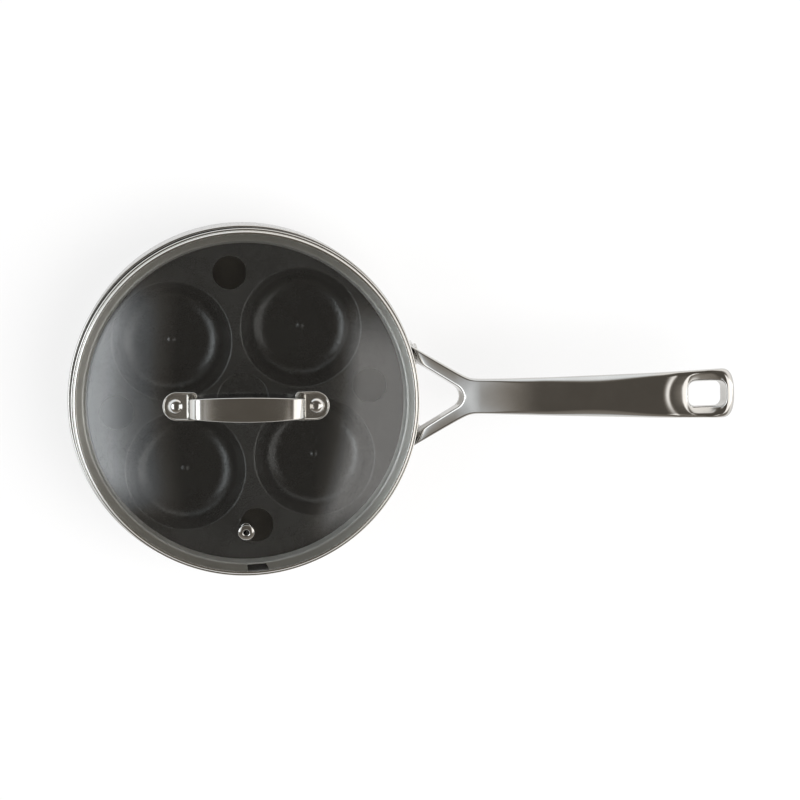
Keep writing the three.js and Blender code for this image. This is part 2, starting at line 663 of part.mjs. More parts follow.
// The tempered glass: a dome that turns flat at its edge, with holes for the rivets and the vent.
function lidGlass() {
  const filletCentre = [domeStartRadius, glassTop + domeFilletRadius];
  const tangent = Math.atan2(filletCentre[1] - domeCentreHeight, filletCentre[0]);
  const domeCentre = [0, domeCentreHeight];
  const down = -Math.PI / 2;
  const face = (offset) => [
    ...arc(domeCentre, domeRadius - offset, Math.PI / 2, tangent, 6),
    ...arc(filletCentre, domeFilletRadius + offset, tangent - Math.PI, down, 2).slice(1),
  ];
  const upper = face(0).reverse();
  const profile = [
    ...face(glassThickness),
    ...arc([glassRadius - glassEdgeRound, glassBottom + glassEdgeRound], glassEdgeRound, down, 0, 1),
    ...arc([glassRadius - glassEdgeRound, glassTop - glassEdgeRound], glassEdgeRound, 0, Math.PI / 2, 1),
    ...upper,
  ];
  const hole = (radius) => bar(radius, -glassThickness - cutOverrun, cutOverrun, smallSegments);
  return footPlaces()
    .reduce((body, place) => body.subtract(solid(hole(glassHoleRadius), place)),
      solid(revolve(profile, wideSegments)))
    .subtract(solid(hole(ventGlassHoleRadius), onDome(ventRadius, ventAzimuth)));
}

// A foot's outline in its own frame, where +X points away from the lid's middle.
function footOutline(inset) {
  const half = footWidth / 2 - inset;
  const corner = footCornerRadius;
  const inner = inset - footInnerReach;
  const roundStart = footOuterReach - inset - half;
  return [
    ...arc([roundStart, 0], half, -Math.PI / 2, Math.PI / 2, 10),
    ...arc([inner + corner, half - corner], corner, Math.PI / 2, Math.PI, 3),
    ...arc([inner + corner, corner - half], corner, Math.PI, (3 * Math.PI) / 2, 3),
  ];
}

const footBottom = seatGap + gasketThickness + seatGap;
const footTop = footBottom + footThickness;

// Middle line of the strap in the XZ plane, from one foot over the top to the other.
function strapLine() {
  const domeTop = domeCentreHeight + domeRadius;
  const shoulder = domeTop + strapShoulderHeight;
  const slope = Math.asin(footRivetSpacing / 2 / domeRadius);
  const rivetHeight = domeCentreHeight + domeRadius * Math.cos(slope);
  const inwards = footRivetSpacing / 2 - strapLegReach;
  const rootMiddle = rivetHeight + footTop * Math.cos(slope) + inwards * Math.tan(slope) - strapRootDepth;
  const bendCentre = [strapLegReach - strapBendRadius, shoulder - strapBendRadius];
  const archRise = Math.atan2(strapCrown, bendCentre[0]);
  const bend = arc(bendCentre, strapBendRadius, 0, Math.PI / 2 - archRise, 5);
  const [archStart, archLow] = bend[bend.length - 1];
  const crownShares = [0.66, 0.33, 0];
  const right = [
    [strapLegReach, rootMiddle],
    ...bend,
    ...crownShares.map((share) => [archStart * share, archLow + strapCrown * (1 - share ** 2)]),
  ];
  const left = right.slice(0, -1).reverse().map(([x, z]) => [-x, z]);
  return [...right, ...left];
}

// The strap is a band that is widest in the middle, standing on two feet that follow the glass.
function lidHandle() {
  const line = strapLine();
  const rings = line.map(([x, z], i) => {
    const [before, after] = [line[Math.max(i - 1, 0)], line[Math.min(i + 1, line.length - 1)]];
    const forward = new THREE.Vector2(after[0] - before[0], after[1] - before[1]).normalize();
    const across = new THREE.Vector2(-forward.y, forward.x).multiplyScalar(strapThickness / 2);
    const middleShare = 1 - (x / strapLegReach) ** 2;
    const half = (strapRootWidth + (strapMiddleWidth - strapRootWidth) * middleShare) / 2;
    return [[1, half], [1, -half], [-1, -half], [-1, half]].map(([side, y]) =>
      new THREE.Vector3(x + side * across.x, y, z + side * across.y));
  });
  const shank = bar(lidRivetRadius + lidRivetPlay, -cutOverrun, footTop + cutOverrun, smallSegments);
  const foot = extrude(footOutline(0), footThickness);
  const feet = footPlaces().map((place) => solid(foot, place.clone().multiply(moved(0, 0, footBottom))));
  return footPlaces().reduce((body, place) => body.subtract(solid(shank, place)),
    joined([solid(loft(rings)), ...feet]));
}

// Silicone pad between a foot and the glass.
function footGasket(place) {
  const pad = solid(extrude(footOutline(gasketInset), gasketThickness), moved(0, 0, seatGap));
  const hole = solid(bar(lidRivetRadius + lidRivetPlay, -cutOverrun, footBottom + cutOverrun, smallSegments));
  return pad.subtract(hole).transform(place.elements);
}

function ring(innerRadius, outerRadius, from, thickness) {
  return revolve([
    [innerRadius, from], [outerRadius, from],
    [outerRadius, from + thickness], [innerRadius, from + thickness],
  ], smallSegments);
}

const sealWasherTop = -glassThickness - seatGap;
const backWasherTop = sealWasherTop - sealWasherThickness - seatGap;
const rivetTailFace = backWasherTop - backWasherThickness - seatGap;

function sealWasher(place) {
  const hole = lidRivetRadius + lidRivetPlay;
  return solid(ring(hole, sealWasherRadius, sealWasherTop - sealWasherThickness, sealWasherThickness), place);
}

function backWasher(place) {
  const hole = lidRivetRadius + lidRivetPlay;
  return solid(ring(hole, backWasherRadius, backWasherTop - backWasherThickness, backWasherThickness), place);
}

// A domed head on the foot, a shank through the glass and a tail formed over the backing washer.
function lidRivet(place) {
  const headFace = footTop + seatGap;
  const headSphere = (lidRivetHeadRadius ** 2 + lidRivetHeadHeight ** 2) / (2 * lidRivetHeadHeight);
  const headAngle = Math.asin(Math.min(lidRivetHeadRadius / headSphere, 1));
  const tailEnd = rivetTailFace - lidRivetTailHeight;
  const tailRound = lidRivetTailHeight / 2;
  return solid(revolve([
    [0, tailEnd],
    [lidRivetTailRadius - tailRound, tailEnd],
    [lidRivetTailRadius, tailEnd + tailRound],
    [lidRivetTailRadius, rivetTailFace],
    [lidRivetRadius, rivetTailFace],
    [lidRivetRadius, headFace],
    ...arc([0, headFace + lidRivetHeadHeight - headSphere], headSphere, Math.PI / 2 - headAngle,
      Math.PI / 2, 5),
  ], smallSegments), place);
}

// The vent's eyelet: a short tube through the glass with a rounded flange above and a rolled one below.
function ventEyelet(place) {
  const top = seatGap + ventSealThickness + seatGap;
  const bottom = -glassThickness - seatGap;
  const flangeMiddle = top + ventFlangeHeight / 2;
  const rollMiddle = bottom - ventFlangeHeight / 2;
  const rolled = ventFlangeRadius - ventFlangeHeight / 2;
  const half = ventFlangeHeight / 2;
  const quarter = Math.PI / 2;
  return solid(revolve([
    [ventHoleRadius, bottom - ventFlangeHeight],
    ...arc([rolled, rollMiddle], half, -quarter, quarter, 3),
    [ventTubeRadius, bottom],
    [ventTubeRadius, top],
    ...arc([rolled, flangeMiddle], half, -quarter, quarter, 3),
    [ventHoleRadius + half, top + ventFlangeHeight],
    [ventHoleRadius, top + half],
  ], smallSegments), place);
}

function ventSeal(place) {
  return solid(ring(ventTubeRadius + lidRivetPlay, ventSealRadius, seatGap, ventSealThickness), place);
}

// Assembly
const pan = new THREE.Group();
pan.add(toMesh('pan_vessel', vessel(), steel), toMesh('long_handle', longHandle(), castSteel));
[['near', -1], ['far', 1]].forEach(([where, side]) =>
  pan.add(toMesh(`handle_rivet_${where}`, panRivet(side), steel)));

const tray = new THREE.Group();
tray.rotation.z = trayTurn;
tray.add(toMesh('poacher_tray', poacherTray(), coating));

const lid = new THREE.Group();
lid.position.set(lidShift[0], lidShift[1], trayTop + seatGap);
lid.rotation.z = lidTurn;
lid.add(
  toMesh('lid_glass', lidGlass(), clearGlass),
  toMesh('lid_band', lidBand(), steel),
  toMesh('lid_handle', lidHandle(), castSteel),
);
footPlaces().forEach((place, i) => {
  const where = ['left', 'right'][i];
  lid.add(
    toMesh(`lid_rivet_${where}`, lidRivet(place), steel),
    toMesh(`foot_gasket_${where}`, footGasket(place), silicone),
    toMesh(`seal_washer_${where}`, sealWasher(place), silicone),
    toMesh(`backing_washer_${where}`, backWasher(place), steel),
  );
});
const ventPlace = onDome(ventRadius, ventAzimuth);
lid.add(
  toMesh('steam_vent_eyelet', ventEyelet(ventPlace), steel),
  toMesh('steam_vent_seal', ventSeal(ventPlace), silicone),
);

const poacher = new THREE.Group();
poacher.name = 'egg_poacher_pan';
poacher.add(pan, tray, lid);

export default poacher;
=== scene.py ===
import json
import math

import bmesh
import bpy
from mathutils import Matrix, Vector


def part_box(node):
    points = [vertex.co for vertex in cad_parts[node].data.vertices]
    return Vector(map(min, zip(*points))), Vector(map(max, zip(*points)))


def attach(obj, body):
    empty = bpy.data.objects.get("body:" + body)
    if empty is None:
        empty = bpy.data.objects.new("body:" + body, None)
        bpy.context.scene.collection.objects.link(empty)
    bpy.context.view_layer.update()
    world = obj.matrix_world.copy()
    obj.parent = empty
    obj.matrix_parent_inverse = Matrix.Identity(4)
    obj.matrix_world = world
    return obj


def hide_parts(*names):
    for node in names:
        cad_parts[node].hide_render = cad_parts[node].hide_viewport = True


# Finish of a four-cup egg poacher pan. Sizes in the dictionaries are millimetres and degrees, and the
# meshes are in metres. Every piece stands in the frame's own place: +X along the handle, +Z up.

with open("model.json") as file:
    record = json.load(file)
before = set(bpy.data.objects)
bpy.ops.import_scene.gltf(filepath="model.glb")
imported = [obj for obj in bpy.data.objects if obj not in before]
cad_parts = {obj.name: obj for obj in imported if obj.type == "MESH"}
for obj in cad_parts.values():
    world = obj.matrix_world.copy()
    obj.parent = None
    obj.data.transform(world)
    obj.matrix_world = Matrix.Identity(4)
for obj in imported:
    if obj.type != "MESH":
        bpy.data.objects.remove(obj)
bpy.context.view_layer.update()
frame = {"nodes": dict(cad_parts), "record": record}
mm = 0.001
onAxis = 0.000001  # a radius in millimetres, below which a point lies on the axis
bodyOf = {node: body for body, nodes in frame["record"]["behaviour"]["bodies"].items() for node in nodes}
print("frame loaded,", len(frame["nodes"]), "nodes")


# Node sums

class Wire:  # an output socket that can stand in an expression
    def __init__(self, sheet, socket):
        self.sheet = sheet
        self.socket = socket

    def pair(self, operation, first, second=0.0):
        return self.sheet.node("ShaderNodeMath", {"operation": operation}, {0: first, 1: second})

    def __add__(self, other):
        return self.pair("ADD", self, other)

    def __sub__(self, other):
        return self.pair("SUBTRACT", self, other)

    def __rsub__(self, other):
        return self.pair("SUBTRACT", other, self)

    def __mul__(self, other):
        return self.pair("MULTIPLY", self, other)

    def __truediv__(self, other):
        return self.pair("DIVIDE", self, other)

    def __rtruediv__(self, other):
        return self.pair("DIVIDE", other, self)

    def __pow__(self, other):
        return self.pair("POWER", self, other)

    __radd__ = __add__
    __rmul__ = __mul__

    def out(self, key):  # another output of the same node
        return Wire(self.sheet, self.socket.node.outputs[key])


class NodeSheet:  # a node tree and the one way that nodes are added to it
    def __init__(self, tree):
        self.tree = tree
        tree.nodes.clear()

    def node(self, kind, settings=None, values=None):
        made = self.tree.nodes.new(kind)
        for key, value in (settings or {}).items():
            if key == "stops":
                for spot, tone in value[2:]:
                    made.color_ramp.elements.new(spot)
                for element, (spot, tone) in zip(made.color_ramp.elements, value):
                    element.position = spot
                    element.color = (tone, tone, tone, 1)
            else:
                setattr(made, key, value)
        for key, value in (values or {}).items():
            if isinstance(value, Wire):
                self.tree.links.new(value.socket, made.inputs[key])
            else:
                made.inputs[key].default_value = value
        return Wire(self, made.outputs[0]) if made.outputs else None

    def smooth(self, value, start, end):  # 0 at start, 1 at end, eased
        return self.node("ShaderNodeMapRange", {"interpolation_type": "SMOOTHSTEP"},
                         {0: value, 1: start, 2: end, 3: 0.0, 4: 1.0})

    def mixColour(self, factor, first, second):
        mixed = self.node("ShaderNodeMix", {"data_type": "RGBA"}, {0: factor, 6: first, 7: second})
        return mixed.out(2)

    def noise(self, place, scale, detail=2.0, roughness=0.5):
        return self.node("ShaderNodeTexNoise", {}, {"Vector": place, "Scale": scale, "Detail": detail,
                                                    "Roughness": roughness})

    def bump(self, height, strength, distance, under=None):  # the distance in metres
        below = {"Normal": under} if under else {}
        return self.node("ShaderNodeBump", {}, {"Strength": strength, "Distance": distance,
                                                "Height": height, **below})

    def surface(self, values):
        return self.node("ShaderNodeBsdfPrincipled", {}, values)


# Shapes

def toRadians(angle):
    return angle * math.pi / 180


def cosOf(angle):  # this one and the next two take degrees
    return math.cos(toRadians(angle))


def sinOf(angle):
    return math.sin(toRadians(angle))


def tanOf(angle):
    return math.tan(toRadians(angle))


def between(first, last, share):
    return first + (last - first) * share


def around(radius, angle):
    return (radius * cosOf(angle), radius * sinOf(angle))


def arcPoints(centre, radius, start, end, steps):  # angles in degrees
    angles = [start + (end - start) * i / steps for i in range(steps + 1)]
    return [(centre[0] + radius * cosOf(a), centre[1] + radius * sinOf(a)) for a in angles]


def ringAt(centre, radius, steps, start):  # a full circle, from an angle on
    angles = [toRadians(start) + 2 * math.pi * i / steps for i in range(steps)]
    return [(centre[0] + radius * math.cos(a), centre[1] + radius * math.sin(a)) for a in angles]


def roundedBox(halfWide, halfTall, corner, steps):
    wide, tall = halfWide - corner, halfTall - corner
    outline = []
    for i, centre in enumerate(((wide, tall), (-wide, tall), (-wide, -tall), (wide, -tall))):
        outline += arcPoints(centre, corner, 90 * i, 90 * i + 90, steps)
    return outline


def roundedLine(points, radii, steps):  # a line whose inner corners are rounded
    line = [points[0]]
    for before, corner, after, radius in zip(points, points[1:], points[2:], radii):
        here = Vector(corner)
        back = (Vector(before) - here).normalized()
        ahead = (Vector(after) - here).normalized()
        half = back.angle(ahead) / 2
        reach = radius / math.tan(half)
        centre = here + (back + ahead).normalized() * (radius / math.sin(half))
        first = here + back * reach - centre
        last = here + ahead * reach - centre
        turn = first.angle_signed(last)
        for i in range(steps + 1):
            a = math.atan2(first.y, first.x) - turn * i / steps
            line.append((centre.x + radius * math.cos(a), centre.y + radius * math.sin(a)))
    return line + [points[-1]]


def beside(line, offset):  # the line moved sideways, to its left
    moved = []
    for i, point in enumerate(line):
        run = Vector(line[min(i + 1, len(line) - 1)]) - Vector(line[max(i - 1, 0)])
        run.normalize()
        moved.append((point[0] - run.y * offset, point[1] + run.x * offset))
    return moved


def thickened(line, thickness):  # a closed section round a middle line, with a round at its end
    half = thickness / 2
    run = Vector(line[-1]) - Vector(line[-2])
    facing = math.degrees(math.atan2(run.y, run.x))
    section = beside(line, -half)
    section += arcPoints(line[-1], half, facing - 90, facing + 90, 6)[1:-1]
    return section + beside(line, half)[::-1]


def linked(name, data):
    made = bpy.data.objects.new(name, data)
    bpy.context.scene.collection.objects.link(made)
    return made


def tidyMesh(piece, crease):
    doubles = 0.0005 * mm
    sheet = bmesh.new()
    sheet.from_mesh(piece.data)
    bmesh.ops.remove_doubles(sheet, verts=sheet.verts, dist=doubles)
    bmesh.ops.dissolve_degenerate(sheet, edges=sheet.edges, dist=doubles / 2)
    bmesh.ops.recalc_face_normals(sheet, faces=sheet.faces)
    sheet.to_mesh(piece.data)
    sheet.free()
    piece.data.shade_smooth()
    piece.data.set_sharp_from_angle(angle=toRadians(crease))


def makeMesh(name, points, faces, crease=40):  # points in millimetres
    mesh = bpy.data.meshes.new(name)
    mesh.from_pydata([(x * mm, y * mm, z * mm) for x, y, z in points], [], faces)
    piece = linked(name, mesh)
    tidyMesh(piece, crease)
    return piece


def spun(name, section, steps, closed=True, start=0.0):  # a section of (radius, height) turned round Z
    points = []
    rings = []
    for radius, height in section:
        if radius < onAxis:
            rings.append([len(points)] * steps)
            points.append((0, 0, height))
        else:
            rings.append(list(range(len(points), len(points) + steps)))
            points += [(x, y, height) for x, y in ringAt((0, 0), radius, steps, start)]
    pairs = list(zip(rings, rings[1:]))
    if closed and section[0][0] > onAxis:
        pairs.append((rings[-1], rings[0]))
    faces = []
    for lower, upper in pairs:
        for i in range(steps):
            j = (i + 1) % steps
            corners = list(dict.fromkeys([lower[i], lower[j], upper[j], upper[i]]))
            if len(corners) > 2:
                faces.append(corners)
    return makeMesh(name, points, faces)


def drill(radius, bottom, top, steps=48):
    return spun("drill", [(0, bottom), (radius, bottom), (radius, top), (0, top)], steps)


def lofted(name, rings, crease=40):  # a closed body through rings of points
    count = len(rings[0])
    points = [point for ring in rings for point in ring]
    faces = []
    for i in range(len(rings) - 1):
        for j in range(count):
            k = (j + 1) % count
            faces.append((i * count + j, i * count + k, (i + 1) * count + k, (i + 1) * count + j))
    faces.append(tuple(range(count - 1, -1, -1)))
    faces.append(tuple(range(len(points) - count, len(points))))
    return makeMesh(name, points, faces, crease)


def settled(piece, crease=40):  # its modifiers turned into plain mesh
    graph = bpy.context.evaluated_depsgraph_get()
    mesh = bpy.data.meshes.new_from_object(piece.evaluated_get(graph))
    piece.modifiers.clear()
    piece.data = mesh
    tidyMesh(piece, crease)
    return piece


def joinedBy(kind, piece, tools, crease=40):  # union or difference with other closed meshes
    for tool in tools:
        cut = piece.modifiers.new(kind, "BOOLEAN")
        cut.operation = kind
        cut.solver = "EXACT"
        cut.object = tool
    settled(piece, crease)
    for tool in tools:
        bpy.data.objects.remove(tool)
    return piece


def placed(piece, matrix):  # the place goes into the mesh, and the object stays at the origin
    piece.data.transform(matrix)
    return piece


def shifted(x, y, z):
    return Matrix.Translation((x * mm, y * mm, z * mm))


def turned(angle, axis="Z"):
    return Matrix.Rotation(toRadians(angle), 4, axis)


def finished(piece, material, node, *others):  # material, body, slot and the CAD nodes that it stands for
    piece.data.materials.clear()
    piece.data.materials.append(material)
    for face in piece.data.polygons:
        face.material_index = 0
    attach(piece, bodyOf[node])
    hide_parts(node, *others)
    print(piece.name, "made,", len(piece.data.polygons), "faces")
    return piece


# Copies round an axis, by Geometry Nodes

def roundTree():
    tree = bpy.data.node_groups.new("copiesRoundAxis", "GeometryNodeTree")
    sheet = NodeSheet(tree)
    tree.interface.new_socket("Geometry", in_out="INPUT", socket_type="NodeSocketGeometry")
    tree.interface.new_socket("Geometry", in_out="OUTPUT", socket_type="NodeSocketGeometry")
    for label, kind in (("Count", "Int"), ("Ring Radius", "Float"), ("First Angle", "Float"),
                        ("Step Angle", "Float"), ("Tilt", "Float"), ("Centre", "Vector"),
                        ("Finish", "Material")):
        tree.interface.new_socket(label, in_out="INPUT", socket_type="NodeSocket" + kind)
    given = sheet.node("NodeGroupInput")
    angle = sheet.node("GeometryNodeInputIndex") * given.out("Step Angle") + given.out("First Angle")
    radius = given.out("Ring Radius")
    spot = sheet.node("ShaderNodeCombineXYZ", {}, {"X": angle.pair("COSINE", angle) * radius,
                                                   "Y": angle.pair("SINE", angle) * radius})
    spots = sheet.node("GeometryNodePoints", {}, {"Count": given.out("Count"), "Position": spot})
    lean = sheet.node("ShaderNodeCombineXYZ", {}, {"Y": given.out("Tilt"), "Z": angle})
    copies = sheet.node("GeometryNodeInstanceOnPoints", {}, {"Points": spots, "Instance": given,
                                                             "Rotation": lean})
    lain = sheet.node("GeometryNodeTransform", {}, {"Geometry": copies, "Translation": given.out("Centre")})
    real = sheet.node("GeometryNodeRealizeInstances", {}, {"Geometry": lain})
    painted = sheet.node("GeometryNodeSetMaterial", {}, {"Geometry": real, "Material": given.out("Finish")})
    sheet.node("NodeGroupOutput", {}, {"Geometry": painted})
    return tree


def copiedRound(piece, count, ringRadius, firstAngle, stepAngle, tilt, centre, finish):
    copies = piece.modifiers.new("copies", "NODES")
    copies.node_group = roundCopies
    values = {"Count": count, "Ring Radius": ringRadius * mm, "First Angle": toRadians(firstAngle),
              "Step Angle": toRadians(stepAngle), "Tilt": toRadians(tilt), "Finish": finish,
              "Centre": [value * mm for value in centre]}
    for item in roundCopies.interface.items_tree:
        if item.in_out == "INPUT" and item.name in values:
            copies[item.identifier] = values[item.name]
    return settled(piece)


roundCopies = roundTree()


# Finishes

def newFinish(name):
    material = bpy.data.materials.new(name)
    material.use_nodes = True
    sheet = NodeSheet(material.node_tree)
    sheet.material = material
    sheet.place = sheet.node("ShaderNodeTexCoord").out("Object")
    return sheet


def finishWith(sheet, shader):
    sheet.node("ShaderNodeOutputMaterial", {}, {"Surface": shader})
    return sheet.material


def rgba(tone, share=1):  # a tone, or a share of it, with its alpha
    return (*[value * share for value in tone], 1)


def polishedSteel(name, tone, polish, grainScale, grain):
    # grainScale stretches the buffing marks, grain is how much they roughen the polish
    sheet = newFinish(name)
    stretched = sheet.node("ShaderNodeMapping", {}, {"Vector": sheet.place, "Scale": grainScale})
    marks = sheet.noise(stretched, 1.0, 3.0, 0.6)
    cloud = sheet.noise(sheet.place, 60.0, 3.0)
    wave = sheet.noise(sheet.place, 25.0, 1.0)
    colour = sheet.mixColour(sheet.smooth(cloud, 0.3, 0.7), rgba(tone, 0.94), rgba(tone))
    roughness = polish + (marks - 0.5) * grain + (cloud - 0.5) * 0.05
    bump = sheet.bump(marks, 0.1, 0.00002, sheet.bump(wave, 0.12, 0.0006))
    return finishWith(sheet, sheet.surface({
        "Base Color": colour, "Metallic": 1.0, "Roughness": roughness, "Normal": bump}))


def spunSteel(name, tone, satin, polish, ridge, centre, innerRadius, lowest, highest):
    # satin inside a radius and between two heights, with ridges round the axis, and polished elsewhere
    sheet = newFinish(name)
    ridgesPerMetre = 3000
    edge = 0.0005
    parts = sheet.node("ShaderNodeSeparateXYZ", {}, {"Vector": sheet.place})
    x, y, z = parts - centre[0], parts.out("Y") - centre[1], parts.out("Z")
    radius = (x * x + y * y) ** 0.5
    rings = sheet.node("ShaderNodeTexNoise", {"noise_dimensions": "1D"}, {
        "W": radius * ridgesPerMetre + z * ridgesPerMetre, "Scale": 1.0, "Detail": 3.0})
    inside = (sheet.smooth(radius, innerRadius + 0.0003, innerRadius)
              * sheet.smooth(z, highest, highest - edge) * sheet.smooth(z, lowest, lowest + edge))
    cloud = sheet.noise(sheet.place, 30.0, 3.0)
    colour = sheet.mixColour(sheet.smooth(cloud, 0.3, 0.7), rgba(tone, 0.93), rgba(tone))
    roughness = polish + inside * (satin - polish) + (rings - 0.5) * 0.14 * (inside + 0.25)
    bump = sheet.bump(rings * inside, 0.1, ridge * mm)
    return finishWith(sheet, sheet.surface({
        "Base Color": colour, "Metallic": 1.0, "Roughness": roughness, "Anisotropic": 0.8,
        "Anisotropic Rotation": 0.25, "Normal": bump}))


def sprayedCoating(name, tone, roughness, shadeFullHeight, shadeGoneHeight):
    # painted shade: darker below one height, deepest in the cups
    sheet = newFinish(name)
    height = sheet.node("ShaderNodeSeparateXYZ", {}, {"Vector": sheet.place}).out("Z")
    peel = sheet.noise(sheet.place, 900.0, 2.0)
    speck = sheet.noise(sheet.place, 2600.0, 1.0)
    cloud = sheet.noise(sheet.place, 35.0, 3.0)
    patches = sheet.smooth(speck * 0.6 + cloud * 0.4, 0.4, 0.65)
    colour = sheet.mixColour(patches, rgba(tone), rgba(tone, 1.35))
    # painted shade in the cups: the tone falls to 0.45 of itself towards their floors
    colour = sheet.mixColour(sheet.smooth(height, shadeFullHeight, shadeGoneHeight), rgba(tone, 0.45), colour)
    rough = roughness + (cloud - 0.5) * 0.12 + (speck - 0.5) * 0.08
    bump = sheet.bump(speck, 0.25, 0.00003, sheet.bump(peel, 0.07, 0.0001))
    return finishWith(sheet, sheet.surface({
        "Base Color": colour, "Roughness": rough, "Specular IOR Level": 0.55, "Normal": bump}))


def clearGlass(name, tone, facingReflection):
    # a mirror film by the angle of view over a clear sheet
    sheet = newFinish(name)
    facing = sheet.node("ShaderNodeLayerWeight", {}, {"Blend": 0.5}).out("Facing")
    wave = sheet.noise(sheet.place, 18.0, 1.0)
    film = facingReflection + (1 - facingReflection) * facing ** 5
    clear = sheet.node("ShaderNodeBsdfTransparent", {}, {"Color": rgba(tone)})
    shine = sheet.surface({"Base Color": (1, 1, 1, 1), "Metallic": 1.0, "Roughness": 0.035,
                           "Normal": sheet.bump(wave, 0.05, 0.0005)})
    return finishWith(sheet, sheet.node("ShaderNodeMixShader", {}, {0: film, 1: clear, 2: shine}))


def mouldedSilicone(name, tone):
    sheet = newFinish(name)
    grain = sheet.noise(sheet.place, 3000.0, 2.0)
    colour = sheet.mixColour(grain, rgba(tone), rgba(tone, 1.3))
    return finishWith(sheet, sheet.surface({
        "Base Color": colour, "Roughness": 0.6 + grain * 0.15, "Normal": sheet.bump(grain, 0.2, 0.00003)}))


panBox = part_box("pan_vessel")
panSteel = spunSteel("panSteel", (0.62, 0.61, 0.59), 0.4, 0.12, 0.01, (0, 0), 0.1007, 0.001, 0.062)
castSteel = polishedSteel("castSteel", (0.6, 0.59, 0.57), 0.1, (40, 900, 900), 0.06)
strapSteel = polishedSteel("strapSteel", (0.66, 0.65, 0.62), 0.14, (60, 1500, 1500), 0.12)
rivetSteel = polishedSteel("rivetSteel", (0.66, 0.65, 0.63), 0.09, (900, 900, 900), 0.05)
lidGlassFinish = clearGlass("lidGlass", (0.965, 0.973, 0.972), 0.045)
silicone = mouldedSilicone("silicone", (0.045, 0.045, 0.044))
print("finishes made")


# Pan vessel: clad sheet with a flared pouring lip

vessel = {"sheet": 2.3, "cornerRadius": 12, "lipRadius": 4.6, "lipAngle": 60, "lipSteps": 12, "steps": 192}
vessel["top"] = panBox[1].z / mm
vessel["outerRadius"] = panBox[1].x / mm - vessel["lipRadius"] * (1 - cosOf(vessel["lipAngle"]))
vessel["innerRadius"] = vessel["outerRadius"] - vessel["sheet"]


def lipCentre():  # of the round that the middle of the flared lip follows
    half = vessel["sheet"] / 2
    rise = vessel["lipRadius"] * sinOf(vessel["lipAngle"])
    return (vessel["innerRadius"] + half + vessel["lipRadius"], vessel["top"] - half - rise)


def lipArc(centre, radius):
    return arcPoints(centre, radius, 180, 180 - vessel["lipAngle"], vessel["lipSteps"])


def makeVessel():
    half = vessel["sheet"] / 2
    corner = vessel["cornerRadius"] + half
    wall = vessel["innerRadius"] + half
    line = [(0.0, half)] + arcPoints((wall - corner, half + corner), corner, -90, 0, 12)
    line += lipArc(lipCentre(), vessel["lipRadius"])
    section = thickened(line, vessel["sheet"])
    section[0] = (0.0, 0.0)
    section[-1] = (0.0, vessel["sheet"])
    piece = spun("pan_vessel_finish", section, vessel["steps"])
    return finished(piece, panSteel, "pan_vessel")


makeVessel()


# Poacher tray: one coated pressing

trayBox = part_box("poacher_tray")
tray = {"sheet": 1.5, "wallGap": 0.6, "seatGap": 0.3, "depth": 9.4, "filletRadius": 2.5, "turn": 5.1,
        "cupCount": 4, "cupMargin": 4, "cupWeb": 4, "cupEdgeRadius": 1.8, "cupWallAngle": 65,
        "cupDepth": 16, "cupFilletRadius": 14, "markRadius": 3, "markHeight": 0.75, "holeRadius": 10,
        "holeMargin": 9.6, "recessMargin": 2.3, "recessDepth": 0.5, "recessEdge": 0.9, "support": 0.7,
        "edgeRound": 0.35, "weld": 0.002, "cupSteps": 96, "holeSteps": 64, "recessSteps": 96, "steps": 192}
tray["top"] = trayBox[1].z / mm
tray["plateTop"] = tray["top"] - tray["depth"]
tray["wallRadius"] = vessel["innerRadius"] - tray["wallGap"] - tray["sheet"]
tray["plateRadius"] = tray["wallRadius"] - tray["filletRadius"]
tray["cupReach"] = tray["plateRadius"] - tray["cupMargin"]
spread = math.sin(math.pi / tray["cupCount"])
tray["cupRadius"] = (tray["cupReach"] * spread - tray["cupWeb"] / 2) / (1 + spread)
tray["cupCircle"] = tray["cupReach"] - tray["cupRadius"]
tray["holeCircle"] = tray["plateRadius"] - tray["holeMargin"] - tray["holeRadius"]
tray["recessRadius"] = tray["cupCircle"] - tray["cupRadius"] - tray["recessMargin"]
# heights between which the painted shade in the cups goes from full to none
paintedShadeFull = (tray["plateTop"] - tray["cupDepth"]) * mm
shadeGoneHeight = (tray["plateTop"] - tray["cupDepth"] / 3) * mm
coating = sprayedCoating("nonstickCoating", (0.018, 0.0174, 0.0167), 0.28, paintedShadeFull, shadeGoneHeight)


def cupSection():  # upper face, from the flat plate down to the middle of the floor
    edge = tray["cupEdgeRadius"]
    angle = tray["cupWallAngle"]
    fillet = tray["cupFilletRadius"]
    points = [(tray["cupRadius"] + tray["support"], 0.0)]
    points += arcPoints((tray["cupRadius"], -edge), edge, 90, 90 + angle, 10)
    last = points[-1]
    drop = last[1] - (fillet - tray["cupDepth"] - fillet * cosOf(angle))
    floorRadius = last[0] - drop / tanOf(angle) - fillet * sinOf(angle)
    points += arcPoints((floorRadius, fillet - tray["cupDepth"]), fillet, angle - 90, -90, 16)
    points += [(floorRadius * share, -tray["cupDepth"]) for share in (0.97, 0.75, 0.5, 0.25)]
    for i in range(9):  # the raised mark in the middle
        share = 1.15 - i * 0.13
        height = tray["markHeight"] * (0.5 + 0.5 * math.cos(math.pi * min(share, 1)))
        points.append((tray["markRadius"] * share, height - tray["cupDepth"]))
    return points + [(0.0, tray["markHeight"] - tray["cupDepth"])]


